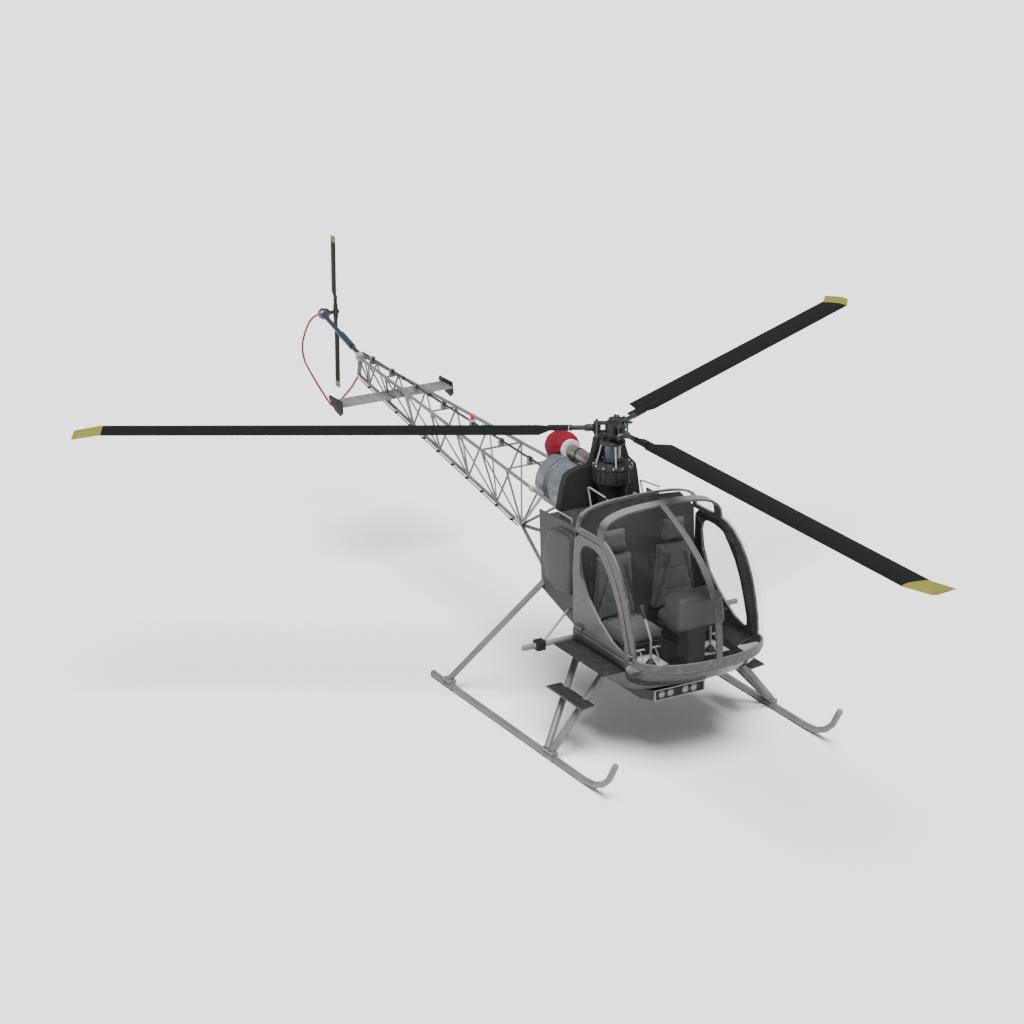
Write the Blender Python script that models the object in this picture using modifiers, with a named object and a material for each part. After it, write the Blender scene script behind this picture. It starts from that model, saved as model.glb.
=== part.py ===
# Light turbine helicopter with a bubble cabin, a lattice tail boom and skids.
# Metres, +X to the nose, +Y to port, +Z up, the skids stand on z = 0.
# Places along the machine are measured from the rotor mast, and MAST_X moves them all.
import bpy
import bmesh
from math import cos, sin, radians, pi
from mathutils import Matrix, Vector

# Driving dimensions
MAST_X = 0.745
GAP = 0.0003
ROTOR_RADIUS = 5.10
ROTOR_Z = 2.78
TAIL_RADIUS = 0.855
TAIL_HUB = (-6.06, 0.155, 2.292)
SKID_Y = 1.233
SKID_RADIUS = 0.032
LEG_RADIUS = 0.037
REAR_LEG_RADIUS = 0.030
BULKHEAD_X = 0.42
BULKHEAD_WALL = 0.018
SEAT_GAP = 0.0005
CENTRE_FRONT = BULKHEAD_X - SEAT_GAP - BULKHEAD_WALL - GAP
FRAME_WALL = 0.022
GLASS_WALL = 0.005
HULL_WALL = 0.012
SIDE_Y = 0.60

# Finishes: colour, roughness, metallic, alpha
FINISHES = {
    "light_grey": ((0.34, 0.34, 0.36), 0.45, 0.3, 1.0),
    "hull_grey": ((0.13, 0.13, 0.135), 0.5, 0.1, 1.0),
    "dark_grey": ((0.05, 0.055, 0.06), 0.6, 0.1, 1.0),
    "blade_black": ((0.02, 0.024, 0.024), 0.55, 0.0, 1.0),
    "steel_blue": ((0.14, 0.17, 0.20), 0.35, 0.7, 1.0),
    "cover_red": ((0.37, 0.02, 0.055), 0.8, 0.0, 1.0),
    "guard_red": ((0.30, 0.01, 0.045), 0.4, 0.1, 1.0),
    "lamp_red": ((0.5, 0.01, 0.01), 0.3, 0.0, 1.0),
    "firewall_black": ((0.012, 0.012, 0.012), 0.6, 0.1, 1.0),
    "seat_grey": ((0.065, 0.072, 0.08), 0.75, 0.0, 1.0),
    "glass": ((0.55, 0.6, 0.6), 0.05, 0.0, 0.25),
}


def finish(name):
    """One Principled material for each finish, made once."""
    if name in bpy.data.materials:
        return bpy.data.materials[name]
    colour, roughness, metallic, alpha = FINISHES[name]
    material = bpy.data.materials.new(name)
    material.use_nodes = True
    shader = material.node_tree.nodes["Principled BSDF"]
    shader.inputs["Base Color"].default_value = (*colour, 1.0)
    shader.inputs["Roughness"].default_value = roughness
    shader.inputs["Metallic"].default_value = metallic
    shader.inputs["Alpha"].default_value = alpha
    return material


def collection(name):
    """A collection in the scene, made once."""
    if name not in bpy.data.collections:
        bpy.context.scene.collection.children.link(bpy.data.collections.new(name))
    return bpy.data.collections[name]


def empty(name, place, parent=None):
    """A frame that pieces are parented to."""
    frame = bpy.data.objects.new(name, None)
    frame.location = place
    frame.parent = parent
    collection("helicopter").objects.link(frame)
    return frame


def solid(name, mesh, material, parent):
    """One named piece of the machine."""
    piece = bpy.data.objects.new(name, mesh)
    mesh.materials.clear()
    mesh.materials.append(finish(material))
    mesh.shade_smooth()
    mesh.set_sharp_from_angle(angle=radians(35))
    piece.parent = parent
    collection("helicopter").objects.link(piece)
    return piece


def loose(mesh):
    """A plain object that a Boolean uses up."""
    piece = bpy.data.objects.new("loose", mesh)
    piece.hide_render = True
    piece.display_type = "WIRE"
    collection("cutters").objects.link(piece)
    return piece


def to_mesh(piece, weld=False):
    """The evaluated mesh of a piece, welded if it was a curve, and the piece removed."""
    view = bpy.context.evaluated_depsgraph_get()
    mesh = bpy.data.meshes.new_from_object(piece.evaluated_get(view))
    if weld:
        bm = bmesh.new()
        bm.from_mesh(mesh)
        bmesh.ops.remove_doubles(bm, verts=bm.verts, dist=0.00002)
        bm.to_mesh(mesh)
        bm.free()
    bpy.data.objects.remove(piece)
    return mesh


def from_bmesh(bm):
    """A mesh from a bmesh, with its faces turned outwards."""
    bmesh.ops.recalc_face_normals(bm, faces=bm.faces)
    mesh = bpy.data.meshes.new("mesh")
    bm.to_mesh(mesh)
    bm.free()
    return mesh


def rod(start, end, radius, sides=8, twist=0.0):
    """A straight round bar between two points; twist turns its flats about its length."""
    start = Vector(start)
    along = Vector(end) - start
    bm = bmesh.new()
    bmesh.ops.create_cone(
        bm, cap_ends=True, segments=sides, radius1=radius, radius2=radius, depth=along.length)
    bmesh.ops.rotate(bm, matrix=Matrix.Rotation(twist, 3, "Z"), verts=bm.verts)
    turn = along.to_track_quat("Z", "Y").to_matrix().to_4x4()
    bmesh.ops.transform(bm, matrix=Matrix.Translation(start + along / 2) @ turn, verts=bm.verts)
    return from_bmesh(bm)


def box(low, high, taper=1.0):
    """A block between two corners, its top scaled by taper about its middle."""
    low = Vector(low)
    high = Vector(high)
    bm = bmesh.new()
    bmesh.ops.create_cube(bm, size=1.0)
    top = [v for v in bm.verts if v.co.z > 0]
    bmesh.ops.scale(bm, vec=(taper, taper, 1), verts=top)
    bmesh.ops.scale(bm, vec=high - low, verts=bm.verts)
    bmesh.ops.translate(bm, vec=(high + low) / 2, verts=bm.verts)
    return from_bmesh(bm)


def rounded(mesh, width, segments=1):
    """A mesh with every sharp edge bevelled."""
    bm = bmesh.new()
    bm.from_mesh(mesh)
    edges = [e for e in bm.edges if e.calc_face_angle(0) > radians(30)]
    bmesh.ops.bevel(bm, geom=edges, offset=width, segments=segments, profile=0.5,
                    affect="EDGES", material=-1)
    return from_bmesh(bm)


def bent_tube(points, radius, resolution=2):
    """A tube along a list of points, as a welded mesh with closed ends."""
    curve = bpy.data.curves.new("tube", "CURVE")
    curve.dimensions = "3D"
    curve.bevel_depth = radius
    curve.bevel_resolution = resolution
    curve.use_fill_caps = True
    line = curve.splines.new("POLY")
    line.points.add(len(points) - 1)
    for point, place in zip(line.points, points):
        point.co = (*place, 1.0)
    return to_mesh(loose(curve), True)


def flat_plate(outline, thickness, place, axis):
    """A flat plate: its outline is drawn square to an axis, X or Y, with Z up."""
    curve = bpy.data.curves.new("plate", "CURVE")
    curve.dimensions = "2D"
    curve.fill_mode = "BOTH"
    curve.extrude = thickness / 2
    line = curve.splines.new("POLY")
    line.use_cyclic_u = True
    line.points.add(len(outline) - 1)
    for point, (across, up) in zip(line.points, outline):
        point.co = (across, up, 0.0, 1.0)
    mesh = to_mesh(loose(curve), True)
    columns = {"X": ((0, 0, 1), (1, 0, 0), (0, 1, 0)), "Y": ((1, 0, 0), (0, 0, -1), (0, 1, 0))}
    turn = Matrix(columns[axis]).to_4x4()
    mesh.transform(Matrix.Translation(place) @ turn)
    bm = bmesh.new()
    bm.from_mesh(mesh)
    return from_bmesh(bm)


def turned(profile, start, axis, sides=20):
    """A turned solid: (distance along axis, radius) from one closed end to the other."""
    bm = bmesh.new()
    points = [bm.verts.new((r, 0, d)) for d, r in profile]
    edges = [bm.edges.new(pair) for pair in zip(points, points[1:])]
    bmesh.ops.spin(bm, geom=points + edges, cent=(0, 0, 0), axis=(0, 0, 1), angle=2 * pi,
                   steps=sides, use_merge=True, use_duplicate=False)
    bmesh.ops.remove_doubles(bm, verts=bm.verts, dist=0.00002)
    turn = Vector(axis).to_track_quat("Z", "Y").to_matrix().to_4x4()
    bmesh.ops.transform(bm, matrix=Matrix.Translation(start) @ turn, verts=bm.verts)
    return from_bmesh(bm)


def combined(meshes, operation="UNION"):
    """The first mesh with the others joined to it, or cut from it, one after another."""
    base = loose(meshes[0])
    for mesh in meshes[1:]:
        tool = loose(mesh)
        step = base.modifiers.new("step", "BOOLEAN")
        step.operation = operation
        step.solver = "EXACT"
        step.object = tool
        merged = to_mesh(base)
        bpy.data.objects.remove(tool)
        base = loose(merged)
    return to_mesh(base)


def mirrored(mesh):
    """The same mesh on the other side of the centre plane."""
    copy = mesh.copy()
    copy.transform(Matrix.Scale(-1, 4, (0, 1, 0)))
    copy.flip_normals()
    return copy


def shell(rows, wall, skipped=None, bridged=False):
    """A wall inside a grid of points, as thick as given, less the cells that skipped names.

    Each row is a list of points of one length; bridged closes the last row's two halves.
    """
    bm = bmesh.new()
    grid = [[bm.verts.new(point) for point in row] for row in rows]
    last = len(rows[0]) - 1
    for r in range(len(grid) - 1):
        for c in range(last):
            if skipped and skipped(r, c):
                continue
            bm.faces.new((grid[r][c], grid[r][c + 1], grid[r + 1][c + 1], grid[r + 1][c]))
    if bridged:
        row = grid[-1]
        for c in range(last // 2):
            corners = (row[c], row[c + 1], row[last - c - 1], row[last - c])
            bm.faces.new(list(dict.fromkeys(corners)))
    for vert in [v for v in bm.verts if not v.link_faces]:
        bm.verts.remove(vert)
    bmesh.ops.triangulate(bm, faces=bm.faces, quad_method="SHORT_EDGE")
    mesh = from_bmesh(bm)
    piece = loose(mesh)
    middle = Vector((0.9, 0.0, 1.5))
    centre = mesh.polygons[0].center
    outward = mesh.polygons[0].normal.dot(centre - middle) > 0
    wall_step = piece.modifiers.new("wall", "SOLIDIFY")
    wall_step.thickness = wall
    wall_step.offset = -1.0 if outward else 1.0
    wall_step.use_even_offset = True
    thick = to_mesh(piece)
    bm = bmesh.new()
    bm.from_mesh(thick)
    return from_bmesh(bm)


# Cabin skin. Each row runs round the nose at one level, from the centre line to the front
# corner, and on to the door's edge: centre x and z, corner x, y and z, exponent of the arc
# between them, and the post's rear edge x, y and z.
FRONT_ROWS = (
    (1.898, 1.030, 1.532, 0.680, 1.030, 2.2, 1.472, 0.685, 1.030),
    (1.898, 1.100, 1.532, 0.680, 1.090, 2.2, 1.472, 0.685, 1.085),
    (1.905, 1.250, 1.512, 0.688, 1.220, 2.2, 1.448, 0.692, 1.200),
    (1.880, 1.450, 1.465, 0.692, 1.400, 2.2, 1.395, 0.696, 1.360),
    (1.810, 1.650, 1.395, 0.692, 1.600, 2.3, 1.317, 0.696, 1.560),
    (1.700, 1.810, 1.310, 0.688, 1.760, 2.4, 1.228, 0.692, 1.715),
    (1.540, 1.960, 1.210, 0.682, 1.890, 2.6, 1.125, 0.686, 1.845),
    (1.320, 2.100, 1.100, 0.675, 1.985, 2.8, 1.030, 0.680, 1.930),
    (1.090, 2.208, 0.995, 0.666, 2.036, 2.9, 0.945, 0.674, 1.975),
    (0.890, 2.290, 0.910, 0.660, 2.052, 3.0, 0.860, 0.670, 2.000),
    (0.790, 2.300, 0.800, 0.658, 2.056, 3.0, 0.780, 0.670, 2.002),
    (0.475, 2.260, 0.475, 0.658, 2.052, 3.0, 0.475, 0.672, 2.002),
    (BULKHEAD_X, 2.248, BULKHEAD_X, 0.656, 2.048, 3.0, BULKHEAD_X, 0.670, 2.002),
)
ARC_STEPS = 7
EDGE_INSET = 0.0012
STRIP_HALF = 0.032


def arc_point(row, share, side):
    """A point of a row: share 0 at the centre line, 1 at the corner, along a superellipse."""
    centre_x, centre_z, corner_x, corner_y, corner_z, power = row[:6]
    angle = share * pi / 2
    inward = cos(angle) ** (2 / power) if share < 1 else 0.0
    outward = sin(angle) ** (2 / power) if share > 0 else 0.0
    return (corner_x + (centre_x - corner_x) * inward, side * corner_y * outward,
            corner_z + (centre_z - corner_z) * inward)


def strip_share(row):
    """The share of a row at which the centre strip ends."""
    low, high = 0.0, 1.0
    for _ in range(30):
        middle = (low + high) / 2
        if arc_point(row, middle, 1)[1] < STRIP_HALF:
            low = middle
        else:
            high = middle
    return high


def row_shares(row, inset=0.0):
    """Shares from the strip's edge to the corner, drawn in by inset for the glass."""
    first = strip_share(row) + inset
    return [first + (1 - inset - first) * i / ARC_STEPS for i in range(ARC_STEPS + 1)]


def between(row_a, row_b, share):
    """A row between two rows."""
    return tuple(a + (b - a) * share for a, b in zip(row_a, row_b))


# Door hinge: where its upright axis stands, and the knuckles' levels from the sill up
HINGE_AT = (1.455, 0.700)
HINGE_ENDS = ((1.045, 1.065), (1.105, 1.125))
HINGE_MIDDLE = (1.0653, 1.1047)
KNUCKLE_RADIUS = 0.007


def hinge_half(side, low, high, reach, post):
    """A knuckle on the hinge's axis with its leaf: reach runs along X, post is where it dips."""
    x, y = HINGE_AT
    knuckle = rod((x, side * y, low), (x, side * y, high), KNUCKLE_RADIUS, 8)
    leaf = box((min(x, x + reach), side * y - 0.005, low), (max(x, x + reach), side * y + 0.005, high))
    foot = box((min(x + post, x + reach), min(side * (y - 0.027), side * y), low),
               (max(x + post, x + reach), max(side * (y - 0.027), side * y), high))
    return [knuckle, leaf, foot]


def cabin_frame(parent):
    """Hoops, posts, sill and centre strip as one frame with the windows left out."""
    rows = []
    for row in FRONT_ROWS:
        shares = row_shares(row)
        edge_x, edge_y, edge_z = row[6:]
        port = [arc_point(row, share, 1) for share in shares] + [(edge_x, edge_y, edge_z)]
        starboard = [(x, -y, z) for x, y, z in reversed(port)]
        rows.append(starboard + port)
    half = ARC_STEPS + 1
    screen_rows = range(1, 9)
    roof_row = 10

    def window(r, c):
        on_glass = 1 <= c < half or half + 1 <= c < 2 * half
        if r in screen_rows:
            return on_glass
        return r == roof_row and 1 <= c < 2 * half

    frame = [shell(rows, FRAME_WALL, window)]
    for side in (-1, 1):
        for low, high in HINGE_ENDS:
            frame += hinge_half(side, low, high, 0.045, 0.023)
    solid("cabin_frame", combined(frame), "light_grey", parent)


def glass_rows(first, last, inset_rows, across):
    """Rows of one glass, drawn in a little from the frame at its first and last row."""
    rows = [between(FRONT_ROWS[first], FRONT_ROWS[first + 1], inset_rows)]
    rows += FRONT_ROWS[first + 1:last]
    rows.append(between(FRONT_ROWS[last], FRONT_ROWS[last - 1], inset_rows))
    return [across(row) for row in rows]


def windscreens(parent):
    """Two halves of the windscreen and the roof window, each set inside its frame."""
    def port_half(row):
        return [arc_point(row, share, 1) for share in row_shares(row, EDGE_INSET)]

    def whole(row):
        shares = row_shares(row, EDGE_INSET)
        port = [arc_point(row, share, 1) for share in shares]
        return [(x, -y, z) for x, y, z in reversed(port)] + port

    port = shell(glass_rows(1, 9, 0.02, port_half), GLASS_WALL)
    solid("windscreen_starboard", mirrored(port), "glass", parent)
    solid("windscreen_port", port, "glass", parent)
    solid("roof_window", shell(glass_rows(10, 11, 0.0052, whole), GLASS_WALL), "glass", parent)


# Lower cabin: rows from the sill down to the belly: centre x and z, corner x, y and z,
# side y at the bulkhead
TUB_ROWS = (
    (1.898, 1.0295, 1.440, 0.681, 1.0295, 0.685),
    (1.898, 1.010, 1.440, 0.681, 1.010, 0.685),
    (1.800, 0.890, 1.330, 0.662, 0.940, 0.680),
    (1.610, 0.785, 1.270, 0.628, 0.865, 0.668),
    (1.385, 0.700, 1.215, 0.585, 0.790, 0.650),
    (1.325, 0.662, 1.160, 0.560, 0.705, 0.620),
    (1.260, 0.628, 1.080, 0.525, 0.640, 0.570),
    (1.150, 0.600, 0.950, 0.490, 0.600, 0.530),
)
TUB_POWER = 2.45
TUB_ARC = 6
TRIM = 0.006
SIDE_STEPS = 2


def tub_half(row, first=0.0, last=1.0, with_side=True):
    """The port half of one row of the tub, from the centre line round to the bulkhead."""
    corner_x, corner_y, corner_z, rear_y = row[2:]
    arc = row[:5] + (TUB_POWER,)
    points = [arc_point(arc, first + (last - first) * i / TUB_ARC, 1) for i in range(TUB_ARC + 1)]
    if with_side:
        for i in range(1, SIDE_STEPS + 1):
            share = i / SIDE_STEPS
            points.append((corner_x + (BULKHEAD_X - TRIM - corner_x) * share,
                           corner_y + (rear_y - corner_y) * share, corner_z))
    return points


def whole_row(port):
    """Both sides of a row, from the starboard end round the nose to the port end."""
    return [(x, -y, z) for x, y, z in reversed(port[1:])] + port


def tub_block(extra):
    """The tub as a full solid with its skin moved out by extra, to cut what meets it."""
    bm = bmesh.new()
    rows = TUB_ROWS[:1] + TUB_ROWS[2:]
    grid = [[bm.verts.new(point) for point in whole_row(tub_half(row))] for row in rows]
    for upper, lower in zip(grid, grid[1:]):
        for c in range(len(upper) - 1):
            bm.faces.new((upper[c], upper[c + 1], lower[c + 1], lower[c]))
        bm.faces.new((upper[-1], upper[0], lower[0], lower[-1]))
    bm.faces.new(grid[0])
    bm.faces.new(grid[-1])
    bmesh.ops.triangulate(bm, faces=bm.faces, quad_method="SHORT_EDGE")
    bmesh.ops.recalc_face_normals(bm, faces=bm.faces)
    bm.normal_update()
    moves = [(vert, vert.normal * extra * vert.calc_shell_factor()) for vert in bm.verts]
    for vert, move in moves:
        vert.co += move
    return from_bmesh(bm)


def lower_cabin(parent):
    """The tub under the doors and the sill, with the chin window cut out of it."""
    rows = [whole_row(tub_half(row)) for row in TUB_ROWS]
    count = len(rows[0]) - 1

    def chin(r, c):
        return 1 <= r <= 3 and SIDE_STEPS <= c < count - SIDE_STEPS

    tub = shell(rows, HULL_WALL, chin, bridged=True)
    behind = box((BULKHEAD_X - 1, -1, 0), (BULKHEAD_X, 1, 2))
    solid("cabin_tub", combined([tub, behind], "DIFFERENCE"), "hull_grey", parent)
    panes = [between(TUB_ROWS[1], TUB_ROWS[2], 0.05), TUB_ROWS[2], TUB_ROWS[3],
             between(TUB_ROWS[4], TUB_ROWS[3], 0.01)]
    glass = [whole_row(tub_half(row, 0.0, 1 - 6 * EDGE_INSET, False)) for row in panes]
    solid("chin_window", shell(glass, GLASS_WALL), "glass", parent)


# Door: outline seen from the side, x and z, from the lower rear corner round to the front
DOOR_OUTLINE = (
    (0.432, 1.036), (0.432, 1.60), (0.432, 1.93), (0.500, 1.990), (0.850, 1.990), (0.935, 1.965),
    (1.018, 1.920), (1.113, 1.837), (1.216, 1.705), (1.305, 1.550), (1.383, 1.352),
    (1.436, 1.192), (1.458, 1.085), (1.461, 1.036),
)
WINDOW_OUTLINE = (
    (0.560, 1.62), (0.540, 1.80), (0.570, 1.885), (0.640, 1.930), (0.780, 1.935), (0.900, 1.905),
    (1.010, 1.815), (1.125, 1.685), (1.215, 1.535), (1.290, 1.350), (1.345, 1.190),
    (1.350, 1.105), (1.290, 1.090), (1.130, 1.130), (0.900, 1.260), (0.680, 1.430),
)
DOOR_OUT = ((1.030, 0.683), (1.20, 0.694), (1.36, 0.698), (1.56, 0.698), (1.72, 0.693),
            (1.85, 0.687), (1.93, 0.682), (2.01, 0.672))
DOOR_WALL = 0.020


def door_y(z):
    """The door's outer face at a height."""
    for (z_a, y_a), (z_b, y_b) in zip(DOOR_OUT, DOOR_OUT[1:]):
        if z <= z_b:
            return y_a + (y_b - y_a) * (z - z_a) / (z_b - z_a)
    return DOOR_OUT[-1][1]


def door_panel(outline, inner, outer):
    """A panel with the door's bow: its outline swept between two depths below the skin."""
    bm = bmesh.new()
    loops = []
    for depth in (outer, inner):
        loops.append([bm.verts.new((x, door_y(z) - depth, z)) for x, z in outline])
    count = len(outline)
    bm.faces.new(loops[0])
    bm.faces.new(list(reversed(loops[1])))
    for i in range(count):
        j = (i + 1) % count
        bm.faces.new((loops[0][i], loops[1][i], loops[1][j], loops[0][j]))
    bmesh.ops.triangulate(bm, faces=bm.faces)
    return from_bmesh(bm)


def grown(outline, by):
    """An outline moved outwards, or inwards for a negative amount, about its middle."""
    middle_x = sum(x for x, _ in outline) / len(outline)
    middle_z = sum(z for _, z in outline) / len(outline)
    result = []
    for x, z in outline:
        away = Vector((x - middle_x, z - middle_z))
        away *= (away.length + by) / away.length
        result.append((middle_x + away.x, middle_z + away.y))
    return result


def doors(parents):
    """Both doors with their window glass, each on a hinge at its front edge."""
    for side, name in ((-1, "starboard"), (1, "port")):
        hinge_x, hinge_y = HINGE_AT
        to_hinge = Matrix.Translation((-hinge_x, -side * hinge_y, 0))
        frame = combined([door_panel(DOOR_OUTLINE, DOOR_WALL, 0.0),
                          door_panel(WINDOW_OUTLINE, DOOR_WALL + 0.05, -0.05)], "DIFFERENCE")
        handle = box((0.50, 0.678, 1.070), (0.62, 0.712, 1.095))
        frame = combined([frame, handle] + hinge_half(1, *HINGE_MIDDLE, -0.045, -0.020))
        glass = door_panel(grown(WINDOW_OUTLINE, -0.001), 0.012, 0.007)
        for mesh, piece, look in ((frame, "door_", "light_grey"), (glass, "door_glass_", "glass")):
            mesh = mirrored(mesh) if side < 0 else mesh
            mesh.transform(to_hinge)
            solid(piece + name, mesh, look, parents[name])


FLOOR_Z = 0.87


def cabin_inside(parent):
    """Floor, bulkhead, seats, instrument pod and stick."""
    rear = BULKHEAD_X + SEAT_GAP
    floor = box((rear, -0.80, FLOOR_Z - 0.02), (1.60, 0.80, FLOOR_Z))
    inside = tub_block(-HULL_WALL - SEAT_GAP)
    solid("cabin_floor", combined([floor, inside], "INTERSECT"), "dark_grey", parent)
    wall = [(-0.52, 0.61), (0.52, 0.61), (0.60, 0.70), (0.665, 1.00), (0.672, 1.60),
            (0.655, 2.01), (0.50, 2.175), (0.0, 2.222), (-0.50, 2.175), (-0.655, 2.01),
            (-0.672, 1.60), (-0.665, 1.00), (-0.60, 0.70)]
    middle = BULKHEAD_X - SEAT_GAP - BULKHEAD_WALL / 2
    plate = flat_plate(wall, BULKHEAD_WALL, (middle, 0, 0), "X")
    solid("rear_bulkhead", plate, "dark_grey", parent)
    for side, name in ((-1, "starboard"), (1, "port")):
        y = side * 0.33
        cushion = rounded(box((0.62, y - 0.26, 1.00), (1.12, y + 0.26, 1.16)), 0.03)
        base = box((0.66, y - 0.20, FLOOR_Z + GAP), (1.02, y + 0.20, 1.02))
        back = rounded(box((0.50, y - 0.25, 1.05), (0.64, y + 0.25, 1.80), 0.86), 0.03)
        head = rounded(box((0.515, y - 0.15, 1.76), (0.61, y + 0.15, 2.02), 0.8), 0.02)
        solid("seat_" + name, combined([cushion, base, back, head]), "seat_grey", parent)
    pod = rounded(box((1.30, -0.27, 1.28), (1.62, 0.27, 1.62), 0.85), 0.03)
    pedestal = box((1.34, -0.10, FLOOR_Z + GAP), (1.52, 0.10, 1.32))
    solid("instrument_pod", combined([pod, pedestal]), "dark_grey", parent)
    stick = bent_tube([(1.24, -0.33, FLOOR_Z + GAP), (1.24, -0.33, 1.12), (1.12, -0.33, 1.32)],
                      0.012, 1)
    solid("cyclic_stick", stick, "light_grey", parent)


# Centre section seen from the side, x and z: deck, rear edge and slanted bottom
CENTRE_OUTLINE = ((CENTRE_FRONT, 0.975), (CENTRE_FRONT, 1.95), (-0.225, 1.95), (-0.225, 1.70),
                  (-0.29, 1.20))
CENTRE_HOLLOW = ((0.50, 0.96), (0.50, 1.935), (-0.210, 1.935), (-0.210, 1.70),
                 (-0.274, 1.21))
TANK_PROFILE = ((0.30, 1.30), (0.345, 1.62), (0.345, 1.90), (0.24, 1.925), (0.05, 1.91),
                (-0.10, 1.84), (-0.19, 1.70), (-0.21, 1.52), (-0.15, 1.36), (0.0, 1.27))
SIDE_PLATE = ((CENTRE_FRONT, 0.98), (CENTRE_FRONT, 1.985), (0.20, 1.985), (-0.34, 1.962),
              (-0.31, 1.45), (-0.29, 1.18))


def centre_section(parent):
    """Deck and rear structure behind the cabin, its side plates, and the fuel tank."""
    block = flat_plate(CENTRE_OUTLINE, 2 * (SIDE_Y - 0.008) - 2 * GAP, (0, 0, 0), "Y")
    core = flat_plate(CENTRE_HOLLOW, 3.0, (0, 0, 0), "Y")
    solid("centre_structure", combined([block, core], "DIFFERENCE"), "hull_grey", parent)
    for side, name in ((-1, "starboard"), (1, "port")):
        plate = flat_plate(SIDE_PLATE, 0.016, (0, side * SIDE_Y, 0), "Y")
        hole = flat_plate(grown(TANK_PROFILE, 0.0006), 0.2, (0, side * SIDE_Y, 0), "Y")
        solid("side_plate_" + name, combined([plate, hole], "DIFFERENCE"), "hull_grey", parent)
    tank = flat_plate(TANK_PROFILE, 1.32, (0, 0, 0), "Y")
    solid("fuel_tank", rounded(tank, 0.012), "hull_grey", parent)


# Firewall outline, y and z, from the port foot over the top to the starboard foot
FIREWALL = ((0.445, 1.955), (0.43, 2.05), (0.405, 2.22), (0.386, 2.30), (0.306, 2.385),
            (0.268, 2.50), (0.225, 2.60), (0.16, 2.66), (0.0, 2.67), (-0.055, 2.61),
            (-0.067, 2.533), (-0.101, 2.404), (-0.136, 2.356), (-0.242, 2.351), (-0.341, 2.324),
            (-0.390, 2.288), (-0.425, 2.178), (-0.466, 1.955))
FIREWALL_X = -0.215
ENGINE_Z = 1.96
SLEEVE_TOP = 2.655
EXHAUST = {"root": (0.06, 2.285), "pipe_end": Vector((-0.965, 0.09, 2.262)),
           "bag_end": Vector((-1.27, 0.12, 2.215)), "pipe_radius": 0.065, "flange": 0.022}


def exhaust_run(front, extra=0.0):
    """The exhaust pipe from the firewall with its end flange, grown by extra."""
    start = Vector((front, *EXHAUST["root"]))
    end = EXHAUST["pipe_end"]
    along = (end - start).normalized()
    radius = EXHAUST["pipe_radius"] + extra
    return combined([rod(start, end - along * 0.03, radius, 16),
                     rod(end - along * (0.05 + extra), end + along * extra,
                         radius + EXHAUST["flange"], 16, 0.1)])


def engine_drum(front, extra=0.0):
    """The stepped drum behind the engine core, grown by extra to cut what rests on it."""
    profile = ((0.0, 0.205), (0.01, 0.228), (0.38, 0.235), (0.385, 0.262), (0.53, 0.265),
               (0.57, 0.235))
    grown_profile = [(-extra, 0.0)] + [(along, radius + extra) for along, radius in profile]
    grown_profile += [(0.57 + extra, 0.235 + extra), (0.57 + extra, 0.0)]
    if not extra:
        grown_profile = [(0.0, 0.0)] + list(profile) + [(0.57, 0.0)]
    return turned(grown_profile, (front, 0, ENGINE_Z), (-1, 0, 0), 20)


def drive_and_engine(parent):
    """Gearbox, mast sleeve, firewall, engine, intake drum and exhaust cover."""
    gearbox = turned(((1.9505, 0.0), (1.9505, 0.16), (1.97, 0.16), (1.985, 0.135), (2.10, 0.135),
                      (2.20, 0.145), (2.24, 0.165), (2.26, 0.185), (2.40, 0.187),
                      (2.425, 0.175), (2.44, 0.12), (2.455, 0.0)), (0, 0, 0), (0, 0, 1), 24)
    solid("main_gearbox", gearbox, "dark_grey", parent)
    sleeve = turned(((2.4553, 0.0), (2.4553, 0.085), (2.475, 0.085), (2.480, 0.068),
                     (SLEEVE_TOP, 0.068), (SLEEVE_TOP, 0.0)), (0, 0, 0), (0, 0, 1), 16)
    solid("mast_sleeve", sleeve, "steel_blue", parent)
    wall = flat_plate(FIREWALL, 0.03, (FIREWALL_X, 0, 0), "X")
    solid("firewall", wall, "firewall_black", parent)
    front = FIREWALL_X - 0.0155
    core = turned(((0.0, 0.0), (0.0, 0.20), (0.24, 0.20), (0.25, 0.0)), (front, 0, ENGINE_Z),
                  (-1, 0, 0), 16)
    solid("engine_core", core, "steel_blue", parent)
    drum = engine_drum(front - 0.2505)
    solid("engine_drum", drum, "steel_blue", parent)
    around = engine_drum(front - 0.2505, GAP)
    ahead = box((front, -1, 1), (front + 1, 1, 3))
    pipe = combined([exhaust_run(front + 0.02), around.copy(), ahead], "DIFFERENCE")
    solid("exhaust_pipe", pipe, "steel_blue", parent)
    along = EXHAUST["bag_end"] - EXHAUST["pipe_end"]
    bag_start = EXHAUST["pipe_end"] - along.normalized() * 0.02
    bag = turned(((0.0, 0.0), (0.0, 0.11), (0.05, 0.150), (0.13, 0.168), (0.22, 0.168),
                  (0.29, 0.145), (0.33, 0.09), (0.33, 0.0)), bag_start, along, 18)
    cutters = [bag, around, exhaust_run(front, GAP)]
    solid("exhaust_cover", combined(cutters, "DIFFERENCE"), "cover_red", parent)


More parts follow.
